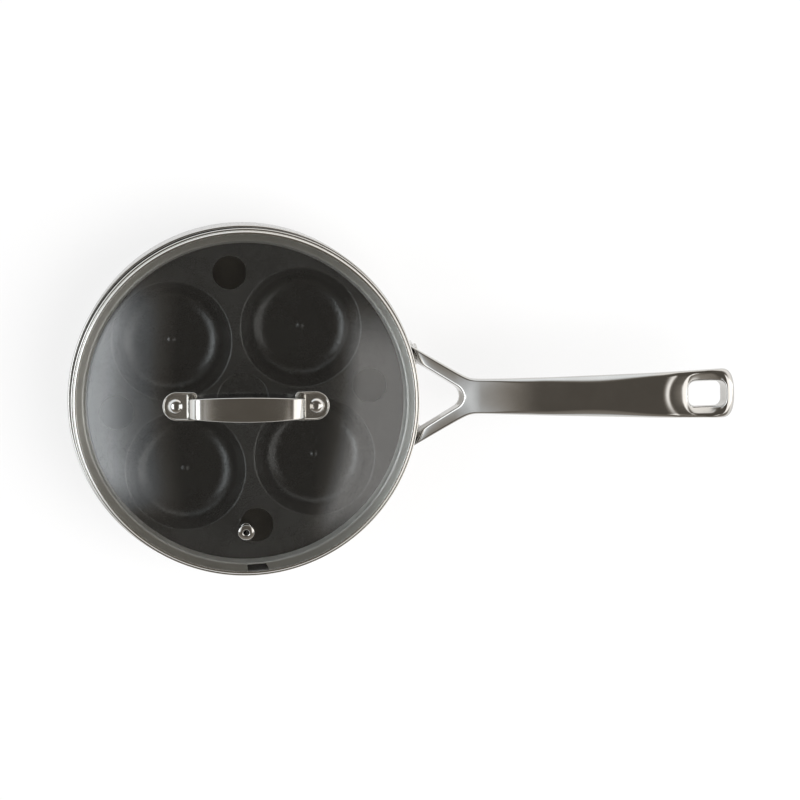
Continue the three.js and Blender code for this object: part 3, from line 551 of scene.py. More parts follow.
def makeTray():
    quarter = 360 / tray["cupCount"]
    support = tray["support"]
    height = tray["plateTop"]

    def repeated(name, section, steps, circle, first):
        piece = spun(name, section, steps, False)
        return copiedRound(piece, tray["cupCount"], circle, first, quarter, 0, (0, 0, height), coating)

    cups = repeated("cups", cupSection(), tray["cupSteps"], tray["cupCircle"], tray["turn"] + quarter / 2)
    holes = repeated("holes", [(tray["holeRadius"] + support, 0), (tray["holeRadius"], 0)],
                     tray["holeSteps"], tray["holeCircle"], tray["turn"])
    edge = tray["recessEdge"]
    recess = [(tray["recessRadius"] + support, 0.0), (tray["recessRadius"], 0.0)]
    for i in range(1, 9):
        fall = 0.5 - 0.5 * math.cos(math.pi * i / 8)
        recess.append((tray["recessRadius"] - edge * i / 8, -tray["recessDepth"] * fall))
    recess += [(tray["recessRadius"] - edge - support, -tray["recessDepth"]), (0.0, -tray["recessDepth"])]
    middle = spun("recess", recess, tray["recessSteps"], False, start=tray["turn"])
    placed(middle, shifted(0, 0, height))
    fillet = tray["filletRadius"]
    lipX, lipZ = lipCentre()
    lift = (tray["wallGap"] - tray["seatGap"]) / sinOf(vessel["lipAngle"])
    wall = [(tray["plateRadius"] - support, height), (tray["plateRadius"], height)]
    wall += arcPoints((tray["plateRadius"], height + fillet), fillet, -90, 0, 8)[1:]
    wall += lipArc((lipX, lipZ - lift), lipX - tray["wallRadius"])
    rim = spun("rim", wall, tray["steps"], False, start=tray["turn"])

    sheet = bmesh.new()
    for part in (cups, holes, middle, rim):
        sheet.from_mesh(part.data)
        bpy.data.objects.remove(part)
    loops = [ringAt((0, 0), tray["plateRadius"] - support, tray["steps"], tray["turn"]),
             ringAt((0, 0), tray["recessRadius"] + support, tray["recessSteps"], tray["turn"])]
    for i in range(tray["cupCount"]):
        spots = (("cup", tray["turn"] + quarter * (i + 0.5)), ("hole", tray["turn"] + quarter * i))
        for kind, angle in spots:
            loops.append(ringAt(around(tray[kind + "Circle"], angle), tray[kind + "Radius"] + support,
                                tray[kind + "Steps"], angle))
    edges = []
    for loop in loops:
        corners = [sheet.verts.new((x * mm, y * mm, height * mm)) for x, y in loop]
        edges += [sheet.edges.new((a, b)) for a, b in zip(corners, corners[1:] + corners[:1])]
    bmesh.ops.triangle_fill(sheet, use_beauty=True, use_dissolve=False, edges=edges)
    bmesh.ops.remove_doubles(sheet, verts=sheet.verts, dist=tray["weld"] * mm)
    bmesh.ops.recalc_face_normals(sheet, faces=sheet.faces)
    flat = [face for face in sheet.faces if abs(face.normal.z) > 0.99]
    if sum(face.normal.z * face.calc_area() for face in flat) < 0:
        bmesh.ops.reverse_faces(sheet, faces=sheet.faces)
    mesh = bpy.data.meshes.new("tray")
    sheet.to_mesh(mesh)
    sheet.free()
    piece = linked("poacher_tray_finish", mesh)
    wallOf = piece.modifiers.new("wall", "SOLIDIFY")
    wallOf.thickness = tray["sheet"] * mm
    wallOf.offset = -1
    wallOf.use_even_offset = True
    soft = piece.modifiers.new("edges", "BEVEL")
    soft.width = tray["edgeRound"] * mm
    soft.segments = 3
    soft.limit_method = "ANGLE"
    soft.angle_limit = toRadians(60)
    settled(piece, 45)
    return finished(piece, coating, "poacher_tray")


makeTray()


# Lid: heights are measured from the seat of its band

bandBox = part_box("lid_band")
lid = {"skirtDepth": 8.3, "turn": -0.8}
lid["centre"] = ((bandBox[0].x + bandBox[1].x) / 2 / mm, (bandBox[0].y + bandBox[1].y) / 2 / mm)
lid["seat"] = bandBox[0].z / mm + lid["skirtDepth"]
lid["place"] = shifted(*lid["centre"], lid["seat"]) @ turned(lid["turn"])

band = {"sheet": 0.6, "seatThickness": 1.4, "ledge": 1.5, "grip": 0.8, "skirtPlay": 1.2, "skirtTaper": 1.6,
        "bendRadius": 1.0, "foldCorner": 0.45, "channelCorner": 0.5, "notchWidth": 13, "notchSlant": 22,
        "notchAzimuth": -85.7, "notchInner": 0.3, "notchOuter": 0.6, "steps": 256, "play": 0.3}
band["seatRadius"] = (bandBox[1].x - bandBox[0].x) / 2 / mm
band["channelRadius"] = band["seatRadius"] - band["ledge"]
band["skirtRadius"] = tray["wallRadius"] - band["skirtPlay"]

glass = {"thickness": 4, "domeRise": 20, "filletRadius": 1.5, "flatMargin": -1.6, "edgeRound": 1.1,
         "steps": 192}
glass["radius"] = band["channelRadius"] - band["sheet"] - band["play"]
glass["bottom"] = band["sheet"] + band["play"]
glass["top"] = glass["bottom"] + glass["thickness"]
glass["domeStart"] = band["skirtRadius"] + glass["flatMargin"]
glass["domeRadius"] = (glass["domeStart"] ** 2 + glass["domeRise"] ** 2) / (2 * glass["domeRise"])
glass["domeCentre"] = glass["top"] + glass["domeRise"] - glass["domeRadius"]
glass["filletCentre"] = (math.sqrt((glass["domeRadius"] + glass["filletRadius"]) ** 2
                                   - (glass["top"] + glass["filletRadius"] - glass["domeCentre"]) ** 2),
                         glass["top"] + glass["filletRadius"])


def makeBand():
    sheet = band["sheet"]
    top = glass["top"] + band["play"] + sheet
    half = sheet / 2
    bottomRadius = band["skirtRadius"] - band["skirtTaper"]
    fold = band["seatThickness"] / 2
    grip = glass["radius"] - band["grip"]
    # One strip: up the skirt, out under the glass, folded back over the seat, up round the glass's edge
    # and in over it.
    skirt = roundedLine([(bottomRadius - half, -lid["skirtDepth"] + half),
                         (band["skirtRadius"] - half, half),
                         (band["channelRadius"] - half, half)], [band["bendRadius"] + half], 8)
    rise = roundedLine([(band["seatRadius"] - fold, band["seatThickness"]),
                        (band["channelRadius"], band["seatThickness"]),
                        (band["channelRadius"], top),
                        (grip, top)], [band["foldCorner"], sheet + band["channelCorner"]], 8)
    back = roundedLine([(grip + half, top - sheet),
                        (band["channelRadius"] - sheet, top - sheet),
                        (band["channelRadius"] - sheet, sheet)], [band["channelCorner"]], 6)
    section = beside(skirt, -half)[:-1] + arcPoints((band["seatRadius"] - fold, fold), fold, -90, 90, 10)
    section += rise[1:-1] + arcPoints((grip + half, top - half), half, 90, 270, 8) + back[1:]
    section += beside(skirt, half)[::-1][1:] + arcPoints(skirt[0], half, 270, 180, 5)[::-1][1:-1]
    piece = spun("lid_band_finish", section, band["steps"])
    # The strip's two ends meet at a notch in the flange, square on one side and slanted on the other.
    outside = band["channelRadius"] - sheet - band["notchOuter"]
    inside = band["skirtRadius"] + band["notchInner"]
    wide = band["notchWidth"] / 2
    slant = (outside - inside) * tanOf(band["notchSlant"])
    outline = [(inside, -wide), (outside, -wide), (outside, wide), (inside, wide - slant)]
    cutter = lofted("notch", [[(x, y, z) for x, y in outline] for z in (-sheet, 2 * sheet)])
    placed(cutter, turned(band["notchAzimuth"]))
    joinedBy("DIFFERENCE", piece, [cutter])
    centre = [value * mm for value in lid["centre"]]
    bandSteel = spunSteel("bandSteel", (0.82, 0.81, 0.78), 0.45, 0.1, 0.02, centre, glass["radius"] * mm,
                          0, (lid["seat"] + glass["top"]) * mm)
    return finished(placed(piece, lid["place"]), bandSteel, "lid_band")


def domeHeight(radius):
    return glass["domeCentre"] + math.sqrt(glass["domeRadius"] ** 2 - radius ** 2)


def domeSlope(radius):
    return math.degrees(math.asin(radius / glass["domeRadius"]))


def onDome(radius, azimuth):  # +Z along the glass's normal, 0 on its upper face
    return turned(azimuth) @ shifted(radius, 0, domeHeight(radius)) @ turned(domeSlope(radius), "Y")


strap = {"rivetSpacing": 83.2, "footThickness": 2.2, "footWidth": 17.1, "footOuterReach": 7.7,
         "footInnerReach": 13.2, "footCorner": 2.5, "borderWidth": 1.3, "borderHeight": 0.55,
         "thickness": 2.4, "rootWidth": 12, "middleWidth": 14.8, "legReach": 33.7, "shoulderHeight": 21,
         "crown": 3.2, "bendRadius": 8.5, "rootDepth": 0.6, "edgeRound": 0.8, "rootFlare": 1.6,
         "flareHeight": 3.5, "legSteps": 14, "archSteps": 16}
gasket = {"thickness": 0.8, "inset": 0.8, "gap": 0.3, "edgeRound": 0.15}
lidRivet = {"radius": 2.4, "headRadius": 4.6, "headHeight": 2.3, "tailRadius": 3.9, "tailHeight": 1.3,
            "play": 0.35, "glassHole": 3.4, "sealRadius": 6.6, "sealThickness": 1, "washerRadius": 6,
            "washerThickness": 0.9, "steps": 48}
vent = {"margin": 20.9, "azimuth": -90, "holeRadius": 1.7, "tubeRadius": 2.6, "flangeRadius": 4.9,
        "flangeHeight": 1.1, "lowerRadius": 3.3, "sealRadius": 4.5, "sealThickness": 0.6, "glassHole": 3,
        "steps": 64}
strap["rivetReach"] = strap["rivetSpacing"] / 2
strap["footBottom"] = 2 * gasket["gap"] + gasket["thickness"]
strap["footTop"] = strap["footBottom"] + strap["footThickness"]
lidRivet["hole"] = lidRivet["radius"] + lidRivet["play"]
vent["radius"] = band["skirtRadius"] - vent["margin"]


def makeGlass():
    filletCentre = glass["filletCentre"]
    tangent = math.degrees(math.atan2(filletCentre[1] - glass["domeCentre"], filletCentre[0]))

    def face(offset):
        dome = arcPoints((0, glass["domeCentre"]), glass["domeRadius"] - offset, 90, tangent, 40)
        dome[0] = (0.0, dome[0][1])
        return dome + arcPoints(filletCentre, glass["filletRadius"] + offset, tangent - 180, -90, 10)[1:]

    edge = glass["edgeRound"]
    rim = glass["radius"] - edge
    section = face(glass["thickness"])
    section += arcPoints((rim, glass["bottom"] + edge), edge, -90, 0, 6)
    section += arcPoints((rim, glass["top"] - edge), edge, 0, 90, 6)
    section += face(0)[::-1]
    piece = spun("lid_glass_finish", section, glass["steps"])
    spots = [(strap["rivetReach"], azimuth, lidRivet["glassHole"]) for azimuth in (0, 180)]
    cutters = []
    for radius, azimuth, hole in spots + [(vent["radius"], vent["azimuth"], vent["glassHole"])]:
        cutters.append(placed(drill(hole, -glass["thickness"] - 2, 2), onDome(radius, azimuth)))
    joinedBy("DIFFERENCE", piece, cutters, 35)
    return finished(placed(piece, lid["place"]), lidGlassFinish, "lid_glass")


def footOutline(inset):  # +X points away from the lid's middle
    half = strap["footWidth"] / 2 - inset
    corner = max(strap["footCorner"] - inset * 0.5, 0.8)
    inner = inset - strap["footInnerReach"]
    roundCentre = strap["footOuterReach"] - inset - half
    points = arcPoints((roundCentre, 0), half, -90, 90, 32)
    points += arcPoints((inner + corner, half - corner), corner, 90, 180, 8)
    points += arcPoints((inner + corner, corner - half), corner, 180, 270, 8)
    return points


def makeFoot():
    thick = strap["footThickness"]
    rise = strap["borderHeight"]
    wide = strap["borderWidth"]
    # inset and height: up the side, over the raised border and down inside it
    levels = [(0.25, 0), (0, 0.25), (0, thick - 0.6), (0.1, thick - 0.25), (0.3, thick - 0.05),
              (0.5, thick), (0.75, thick - 0.06), (wide - 0.3, thick - rise * 0.55),
              (wide, thick - rise * 0.92), (wide + 0.3, thick - rise), (wide + 1.2, thick - rise)]
    rings = [[(x, y, height) for x, y in footOutline(inset)] for inset, height in levels]
    return joinedBy("DIFFERENCE", lofted("foot", rings, 35), [drill(lidRivet["hole"], -1, thick + 1)], 35)


def strapLine():  # middle of the strap in the XZ plane of the lid, right root to left root
    domeTop = glass["domeCentre"] + glass["domeRadius"]
    slope = toRadians(domeSlope(strap["rivetReach"]))
    inwards = strap["rivetReach"] - strap["legReach"]
    root = (domeHeight(strap["rivetReach"]) + strap["footTop"] * math.cos(slope)
            + inwards * math.tan(slope) - strap["borderHeight"] - strap["rootDepth"])
    shoulder = domeTop + strap["shoulderHeight"]
    bend = (strap["legReach"] - strap["bendRadius"], shoulder - strap["bendRadius"])
    rise = math.degrees(math.atan2(strap["crown"], bend[0]))
    leg = shoulder - strap["bendRadius"] - root
    steps = strap["legSteps"]
    right = [(strap["legReach"], root + leg * i / steps) for i in range(steps)]
    right += arcPoints(bend, strap["bendRadius"], 0, 90 - rise, steps)
    start, low = right[-1]
    for i in range(1, strap["archSteps"] + 1):
        share = 1 - i / strap["archSteps"]
        right.append((start * share, low + strap["crown"] * (1 - share ** 2)))
    return right + [(-x, z) for x, z in right[-2::-1]], root


def makeStrap():
    line, root = strapLine()
    rings = []
    for i, (x, z) in enumerate(line):
        ahead = Vector(line[min(i + 1, len(line) - 1)]) - Vector(line[max(i - 1, 0)])
        ahead.normalize()
        if i in (0, len(line) - 1):
            ahead = Vector((0, 1 if i == 0 else -1))
        width = between(strap["rootWidth"], strap["middleWidth"], 1 - (x / strap["legReach"]) ** 2)
        flare = max(0.0, 1 - (z - root) / strap["flareHeight"]) ** 2
        half = width / 2 + strap["rootFlare"] * flare
        thick = strap["thickness"] / 2 + strap["rootFlare"] * 0.5 * flare
        outline = roundedBox(thick, half, strap["edgeRound"], 5)
        rings.append([(x + ahead.y * across, y, z - ahead.x * across) for across, y in outline])
    piece = lofted("lid_handle_finish", rings, 35)
    feet = []
    for azimuth in (0, 180):
        place = onDome(strap["rivetReach"], azimuth) @ shifted(0, 0, strap["footBottom"])
        feet.append(placed(makeFoot(), place))
    joinedBy("UNION", piece, feet, 35)
    return finished(placed(piece, lid["place"]), strapSteel, "lid_handle")


def copiedAtFeet(piece, name, finish, kind):  # one mesh of both copies, on the dome's normals
    piece.name = name
    radius = strap["rivetReach"]
    copiedRound(piece, 2, radius, 0, 180, domeSlope(radius), (0, 0, domeHeight(radius)), finish)
    placed(piece, lid["place"])
    return finished(piece, finish, kind + "_left", kind + "_right")


def washerSection(inner, outer, bottom, thickness, softness):
    top = bottom + thickness
    return roundedLine([(inner, bottom + thickness / 2), (inner, bottom), (outer, bottom), (outer, top),
                        (inner, top), (inner, bottom + thickness / 2)], [softness] * 4, 4)[:-1]


def makeLidFastenings():
    steps = lidRivet["steps"]
    headFace = strap["footTop"] - strap["borderHeight"] + 0.02
    sphere = (lidRivet["headRadius"] ** 2 + lidRivet["headHeight"] ** 2) / (2 * lidRivet["headHeight"])
    reach = math.degrees(math.asin(min(lidRivet["headRadius"] / sphere, 1)))
    sealTop = -glass["thickness"] - gasket["gap"]
    washerTop = sealTop - lidRivet["sealThickness"] - gasket["gap"]
    tailFace = washerTop - lidRivet["washerThickness"] - gasket["gap"]
    tailEnd = tailFace - lidRivet["tailHeight"]
    tail = lidRivet["tailRadius"]
    soft = lidRivet["tailHeight"] * 0.45
    section = [(0.0, tailEnd)] + arcPoints((tail - soft, tailEnd + soft), soft, -90, 0, 6)
    section += [(tail, tailFace), (lidRivet["radius"], tailFace), (lidRivet["radius"], headFace)]
    section += [(lidRivet["headRadius"] - 0.05, headFace)]
    section += arcPoints((0, headFace + lidRivet["headHeight"] - sphere), sphere, 90 - reach + 1, 90, 16)
    section[-1] = (0.0, section[-1][1])
    copiedAtFeet(spun("lidRivet", section, steps), "lid_rivet_finish", rivetSteel, "lid_rivet")
    hole = lidRivet["hole"]
    seal = washerSection(hole, lidRivet["sealRadius"], sealTop - lidRivet["sealThickness"],
                         lidRivet["sealThickness"], 0.3)
    copiedAtFeet(spun("seal", seal, steps), "seal_washer_finish", silicone, "seal_washer")
    washer = washerSection(hole, lidRivet["washerRadius"], washerTop - lidRivet["washerThickness"],
                           lidRivet["washerThickness"], 0.2)
    copiedAtFeet(spun("washer", washer, steps), "backing_washer_finish", rivetSteel, "backing_washer")
    inset, thick, rounded = gasket["inset"], gasket["thickness"], gasket["edgeRound"]
    levels = [(inset + rounded, 0), (inset, rounded), (inset, thick - rounded), (inset + rounded, thick)]
    rings = [[(x, y, z + gasket["gap"]) for x, y in footOutline(step)] for step, z in levels]
    pad = joinedBy("DIFFERENCE", lofted("gasket", rings), [drill(hole, -1, 3)])
    copiedAtFeet(pad, "foot_gasket_finish", silicone, "foot_gasket")


def makeVent():
    top = 2 * gasket["gap"] + vent["sealThickness"]
    bottom = -glass["thickness"] - gasket["gap"]
    half = vent["flangeHeight"] / 2
    rolled = vent["flangeRadius"] - half
    place = lid["place"] @ onDome(vent["radius"], vent["azimuth"])
    section = arcPoints((vent["lowerRadius"] - half, bottom - half), half, -90, 90, 8)
    section += [(vent["tubeRadius"], bottom), (vent["tubeRadius"], top)]
    section += arcPoints((rolled, top + half), half, -90, 60, 8)
    section += arcPoints((vent["holeRadius"] + 0.9, top + vent["flangeHeight"] - 0.75), 0.9, 80, 180, 8)
    section += [(vent["holeRadius"], bottom - half), (vent["holeRadius"] + 0.3, bottom - 2 * half)]
    piece = placed(spun("steam_vent_eyelet_finish", section, vent["steps"]), place)
    finished(piece, rivetSteel, "steam_vent_eyelet")
    seal = washerSection(vent["tubeRadius"] + lidRivet["play"], vent["sealRadius"], gasket["gap"],
                         vent["sealThickness"], 0.2)
    ring = placed(spun("steam_vent_seal_finish", seal, vent["steps"]), place)
    finished(ring, silicone, "steam_vent_seal")


makeBand()
makeGlass()
makeStrap()
makeLidFastenings()
makeVent()


# Long handle: a forked steel casting

handle = {"neckLength": 38.9, "neckHalfWidth": 10.1, "gripHalfWidth": 14.9, "forkSlope": 0.589,
          "forkLength": 32, "neckBlend": 2.2, "tipRound": 8, "tipPower": 2.6, "armThickness": 9.4,
          "gripThickness": 8, "thinningStart": 6, "edgeRound": 0.7, "bellyRound": 2.4, "rootHeight": 54,
          "rootSlope": 2.05, "rootBlend": 1.8, "rootSweep": 0.25, "armHeight": 61.5, "armLength": 24,
          "armEndHeight": 68.1, "neckHeight": 72.5, "neckSlope": 0.27, "midClimb": 0.75,
          "crestLength": 136.9, "crestHeight": 87.3, "droopLength": 158.9, "droopHeight": 86.2,
          "tipHeight": 80.5, "crotchLength": 34.6, "crotchHalfAngle": 31.9, "crotchRadius": 7.3,
          "crotchLean": 2.2, "fanAngle": 48, "openingRound": 1.1, "openingBlend": (200, 240),
          "loopSetback": 16.4, "loopLength": 22.6, "loopWidth": 14.6, "loopCorner": 4.2, "loopLean": 3,
          "loopRound": 1.2, "funnelWidth": (4.0, 5.6), "funnelSlope": (0.06, 0.7),
          "funnelSoftness": (1.0, 0.6), "funnelTurn": (-4, 7), "funnelFade": (-10, 2), "dishSetback": 24,
          "dishRadius": 22.3, "dishLip": 7, "dishSlope": 0.242, "dishPower": 1.6, "dishFall": 0.1,
          "bevelSoftness": 0.3, "bevelSoftening": 1.6, "bevelBlend": (-16, 4), "crown": 0.25,
          "crownWidth": 15, "armCrown": 0.1, "armCrownWidth": 9, "armCrownFade": (-10, 30),
          "padOffset": 23.5, "padWidth": 13, "padHeight": 30, "padThickness": 4, "padCorner": 5,
          "padMiddle": 41, "padRound": 1.0, "rivetMiddle": 36, "gap": 0.3}
handleRowCount = {"arm": 56, "crotch": 22, "bar": 150, "nearEnd": 5, "corner": 12, "side": 16, "farEnd": 6,
                  "across": 14, "wall": 4}
# distance from the wall, then the bevel's width, its slope at the crease and its slope at the edge
bevels = [(0, 1.1, 0.5, 0.9), (38.9, 1.4, 0.5, 0.9), (70, 3.0, 0.48, 0.95), (108, 5, 0.45, 1.0),
          (150, 2.6, 0.45, 1.0), (162, 2.8, 0.35, 1.0), (175, 2.8, 0.4, 1.1), (184, 4.8, 0.4, 1.0),
          (189.9, 4.8, 0.5, 0.9)]
panRivet = {"radius": 3, "play": 0.3, "headRadius": 6.2, "headHeight": 1.5, "tailRadius": 4.8,
            "tailHeight": 1.6}
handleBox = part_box("long_handle")
handle["reach"] = handleBox[1].x / mm
handle["root"] = vessel["outerRadius"] + handle["gap"]
handle["neck"] = handle["root"] + handle["neckLength"]
handle["forkEdge"] = handle["root"] + handle["forkLength"]
handle["crest"] = handle["root"] + handle["crestLength"]
handle["crotch"] = handle["root"] + handle["crotchLength"]
handle["apexCentre"] = handle["crotch"] - handle["crotchRadius"] / sinOf(handle["crotchHalfAngle"])
handle["loopMiddle"] = handle["reach"] - handle["loopSetback"]
handle["dishMiddle"] = handle["reach"] - handle["dishSetback"]
handle["padAzimuth"] = math.degrees(math.asin(handle["padOffset"] / handle["root"]))


def softMin(a, b, blend):
    return (a + b - math.hypot(a - b, blend)) / 2


def eased(value, start, end):
    share = min(max((value - start) / (end - start), 0), 1)
    return share * share * (3 - 2 * share)


def easedNear(value, place, span):  # over a span that is measured from a place
    return eased(value, place + span[0], place + span[1])


def climb(reach):  # gentle line of the bar through its named heights
    middle = (handle["neck"] + handle["crest"]) / 2
    spots = [(handle["root"], handle["armHeight"]),
             (handle["root"] + handle["armLength"], handle["armEndHeight"]),
             (handle["neck"], handle["neckHeight"]),
             (middle, between(handle["neckHeight"], handle["crestHeight"], handle["midClimb"])),
             (handle["crest"], handle["crestHeight"]),
             (handle["root"] + handle["droopLength"], handle["droopHeight"]),
             (handle["reach"], handle["tipHeight"])]
    last = len(spots) - 1
    slopes = [(spots[min(i + 1, last)][1] - spots[max(i - 1, 0)][1])
              / (spots[min(i + 1, last)][0] - spots[max(i - 1, 0)][0]) for i in range(last + 1)]
    slopes[2] = handle["neckSlope"]  # set by itself, as the light on the neck shows it
    if reach <= spots[0][0]:
        return spots[0][1] + (reach - spots[0][0]) * slopes[0]
    k = max(i for i in range(last) if reach >= spots[i][0])
    (x0, z0), (x1, z1) = spots[k], spots[k + 1]
    t = (reach - x0) / (x1 - x0)
    run = x1 - x0
    return (z0 * (2 * t ** 3 - 3 * t ** 2 + 1) + z1 * (3 * t ** 2 - 2 * t ** 3)
            + run * slopes[k] * (t ** 3 - 2 * t ** 2 + t) + run * slopes[k + 1] * (t ** 3 - t ** 2))


def middleHeight(x, y):
    reach = math.hypot(x, y)
    sweep = handle["rootSweep"] * (abs(y) - handle["padOffset"])
    steep = handle["rootHeight"] + (reach + sweep - handle["root"]) * handle["rootSlope"]
    return softMin(climb(reach), steep, handle["rootBlend"])


def halfWidth(x):
    share = (x - handle["neck"]) / (handle["reach"] - handle["neck"])
    grip = handle["neckHalfWidth"] + share * (handle["gripHalfWidth"] - handle["neckHalfWidth"])
    fork = handle["neckHalfWidth"] + (handle["forkEdge"] - x) * handle["forkSlope"]
    blended = (grip + fork + math.hypot(grip - fork, handle["neckBlend"])) / 2
    intoTip = min(max((x - handle["reach"]) / handle["tipRound"] + 1, 0), 1)
    return blended * (1 - intoTip ** handle["tipPower"]) ** (1 / handle["tipPower"])


def halfThickness(x):
    share = eased(x, handle["neck"] - handle["thinningStart"], (handle["neck"] + handle["crest"]) / 2)
    return between(handle["armThickness"], handle["gripThickness"], share) / 2


def crotchDistance(x, y):  # from the opening between the arms, positive on metal
    angle = toRadians(handle["crotchHalfAngle"])
    dx, dy = x - handle["apexCentre"], abs(y)
    if dx * math.cos(angle) > dy * math.sin(angle):
        return math.hypot(dx, dy) - handle["crotchRadius"]
    return (x - handle["crotch"]) * math.sin(angle) + dy * math.cos(angle)


def loopDistance(x, y):
    corner = handle["loopCorner"]
    dx = abs(x - handle["loopMiddle"]) - handle["loopLength"] / 2 + corner
    dy = abs(y) - handle["loopWidth"] / 2 + corner
    return math.hypot(max(dx, 0), max(dy, 0)) + min(max(dx, dy), 0) - corner


def openingDistance(x, y):
    return min(crotchDistance(x, y), loopDistance(x, y))


def quarterDrop(distance, radius):  # of a quarter round that starts at an edge
    if distance >= radius:
        return 0.0
    return radius - math.sqrt(max(radius ** 2 - (radius - max(distance, 0)) ** 2, 0))


def bevelAt(x):
    length = x - handle["root"]
    for (before, *first), (after, *last) in zip(bevels, bevels[1:]):
        if length <= after or after == bevels[-1][0]:
            share = eased(length, before, after)
            return [between(a, b, share) for a, b in zip(first, last)]
    return bevels[-1][1:]


def dishDrop(x, y):  # a soft lip, then a floor that hardly falls
    inside = handle["dishRadius"] - math.hypot(x - handle["dishMiddle"], y)
    lip, power = handle["dishLip"], handle["dishPower"]
    if inside <= 0:
        return 0.0
    return (handle["dishSlope"] * lip * min(inside / lip, 1) ** power / power
            + handle["dishFall"] * max(inside - lip, 0))


def funnelDrop(x, y):  # steeper beside the loop's opening than before it, and none beyond it
    near = handle["loopMiddle"] - handle["loopLength"] / 2
    far = near + handle["loopLength"]
    share = easedNear(x, near, handle["funnelTurn"])
    wide, slope, soft = [between(*ends, share) for ends in
                         (handle["funnelWidth"], handle["funnelSlope"], handle["funnelSoftness"])]
    inside = max(wide - loopDistance(x, y), 0)
    return slope * inside * inside / (inside + soft) * (1 - easedNear(x, far, handle["funnelFade"]))


def topHeight(x, y, fromEdge):
    wide, start, end = bevelAt(x)
    inside = max(wide - fromEdge, 0)
    softening = easedNear(x, handle["dishMiddle"], handle["bevelBlend"])
    lean = inside * inside / (inside + (handle["bevelSoftness"] + handle["bevelSoftening"] * softening))
    drop = start * lean + (end - start) * lean * lean / (2 * wide)
    drop += quarterDrop(fromEdge, handle["edgeRound"])
    arms = handle["armCrown"] * (1 - easedNear(x, handle["neck"], handle["armCrownFade"]))
    drop += arms * max(handle["armCrownWidth"] - fromEdge, 0) ** 2 / (2 * handle["armCrownWidth"])
    opening = between(handle["openingRound"], handle["loopRound"], eased(x, *handle["openingBlend"]))
    drop += quarterDrop(openingDistance(x, y), opening)
    drop += dishDrop(x, y) + funnelDrop(x, y)
    crown = handle["crown"] * (1 - min(abs(y) / handle["crownWidth"], 1) ** 2)
    return middleHeight(x, y) + halfThickness(x) + crown - drop


def bottomHeight(x, y, fromEdge):
    rise = quarterDrop(fromEdge, handle["bellyRound"])
    rise += quarterDrop(openingDistance(x, y), handle["openingRound"])
    return middleHeight(x, y) - halfThickness(x) + rise


def bisected(near, far, passes):  # the last spot from near to far that passes
    for _ in range(50):
        middle = (near + far) / 2
        if passes(middle):
            near = middle
        else:
            far = middle
    return near


def edgeFrom(x, y, angle):  # along a direction out to the outer edge
    dx, dy = around(1, angle)

    def inside(run):
        px, py = x + dx * run, y + dy * run
        return px < handle["reach"] and py < halfWidth(px)

    run = bisected(0.0, 40.0, inside)
    return (x + dx * run, y + dy * run)


def handleRows():  # (inner point, outer point, bulge to the wall's curve, lean) from an arm's root to the tip
    angle, fan = handle["crotchHalfAngle"], handle["fanAngle"]
    radius = handle["crotchRadius"]
    tangentX = handle["apexCentre"] + radius * sinOf(angle)
    tangentY = radius * cosOf(angle)
    slope = tanOf(angle)

    def onCircle(edge):  # where an edge meets the circle of the root
        return bisected(60.0, tangentX, lambda x: math.hypot(x, edge(x)) < handle["root"])

    def innerEdge(x):
        return (handle["crotch"] - x) * slope

    innerStart = onCircle(innerEdge)
    outerStart = onCircle(halfWidth)
    outerEnd = edgeFrom(tangentX, tangentY, 90 - angle)
    rows = []
    steps = handleRowCount["arm"]
    for i in range(steps):
        share = i / steps
        xIn = between(innerStart, tangentX, share ** 1.25)
        xOut = between(outerStart, outerEnd[0], share ** 1.25)
        rows.append(((xIn, innerEdge(xIn)), (xOut, halfWidth(xOut)), 1 - share, -handle["crotchLean"]))
    steps = handleRowCount["crotch"]
    for i in range(steps):
        share = i / steps
        x, y = around(radius, (90 - angle) * (1 - share))
        x += handle["apexCentre"]
        outer = edgeFrom(x, y, (90 - angle) + (fan - 90 + angle) * share)
        rows.append(((x, y), outer, 0, -handle["crotchLean"]))
    apex = handle["apexCentre"] + radius
    corner = handle["loopCorner"]
    halfLong, halfWide = handle["loopLength"] / 2, handle["loopWidth"] / 2
    middle = handle["loopMiddle"]
    near, far = middle - halfLong, middle + halfLong

    def loopLean(x):  # of the opening's wall, and never quite none
        return -handle["loopLean"] * eased(x, middle - 4, far) - 0.01

    fromX, toX = edgeFrom(apex, 0, fan)[0], near - 8
    steps = handleRowCount["bar"]
    for i in range(steps):
        x = fromX + (toX - fromX) * i / steps
        lean = 0 if i else -handle["crotchLean"]
        rows.append(((apex + (near - apex) * i / steps, 0.0), (x, halfWidth(x)), 0, lean))
    steps = handleRowCount["nearEnd"]
    path = [(near, (halfWide - corner) * i / steps) for i in range(steps)]
    path += arcPoints((near + corner, halfWide - corner), corner, 180, 90, handleRowCount["corner"])[:-1]
    sideX = near + corner - 0.5
    for i, (x, y) in enumerate(path):
        outer = toX + (sideX - toX) * i / len(path)
        rows.append(((x, y), (outer, halfWidth(outer)), 0, loopLean(x)))
    endX = far + 1
    steps = handleRowCount["side"]
    for i in range(steps):
        x = near + corner + (2 * halfLong - 2 * corner) * i / steps
        outer = sideX + (endX - sideX) * i / steps
        rows.append(((x, halfWide), (outer, halfWidth(outer)), 0, loopLean(x)))
    path = arcPoints((far - corner, halfWide - corner), corner, 90, 0, handleRowCount["corner"])[:-1]
    steps = handleRowCount["farEnd"]
    path += [(far, (halfWide - corner) * (1 - i / steps)) for i in range(steps + 1)]
    base = far - 4
    first = math.degrees(math.atan2(halfWidth(endX), endX - base))
    for i, (x, y) in enumerate(path):
        outer = edgeFrom(base, 0, first * (1 - i / (len(path) - 1)))
        rows.append(((x, y), outer, 0, loopLean(x)))
    return rows


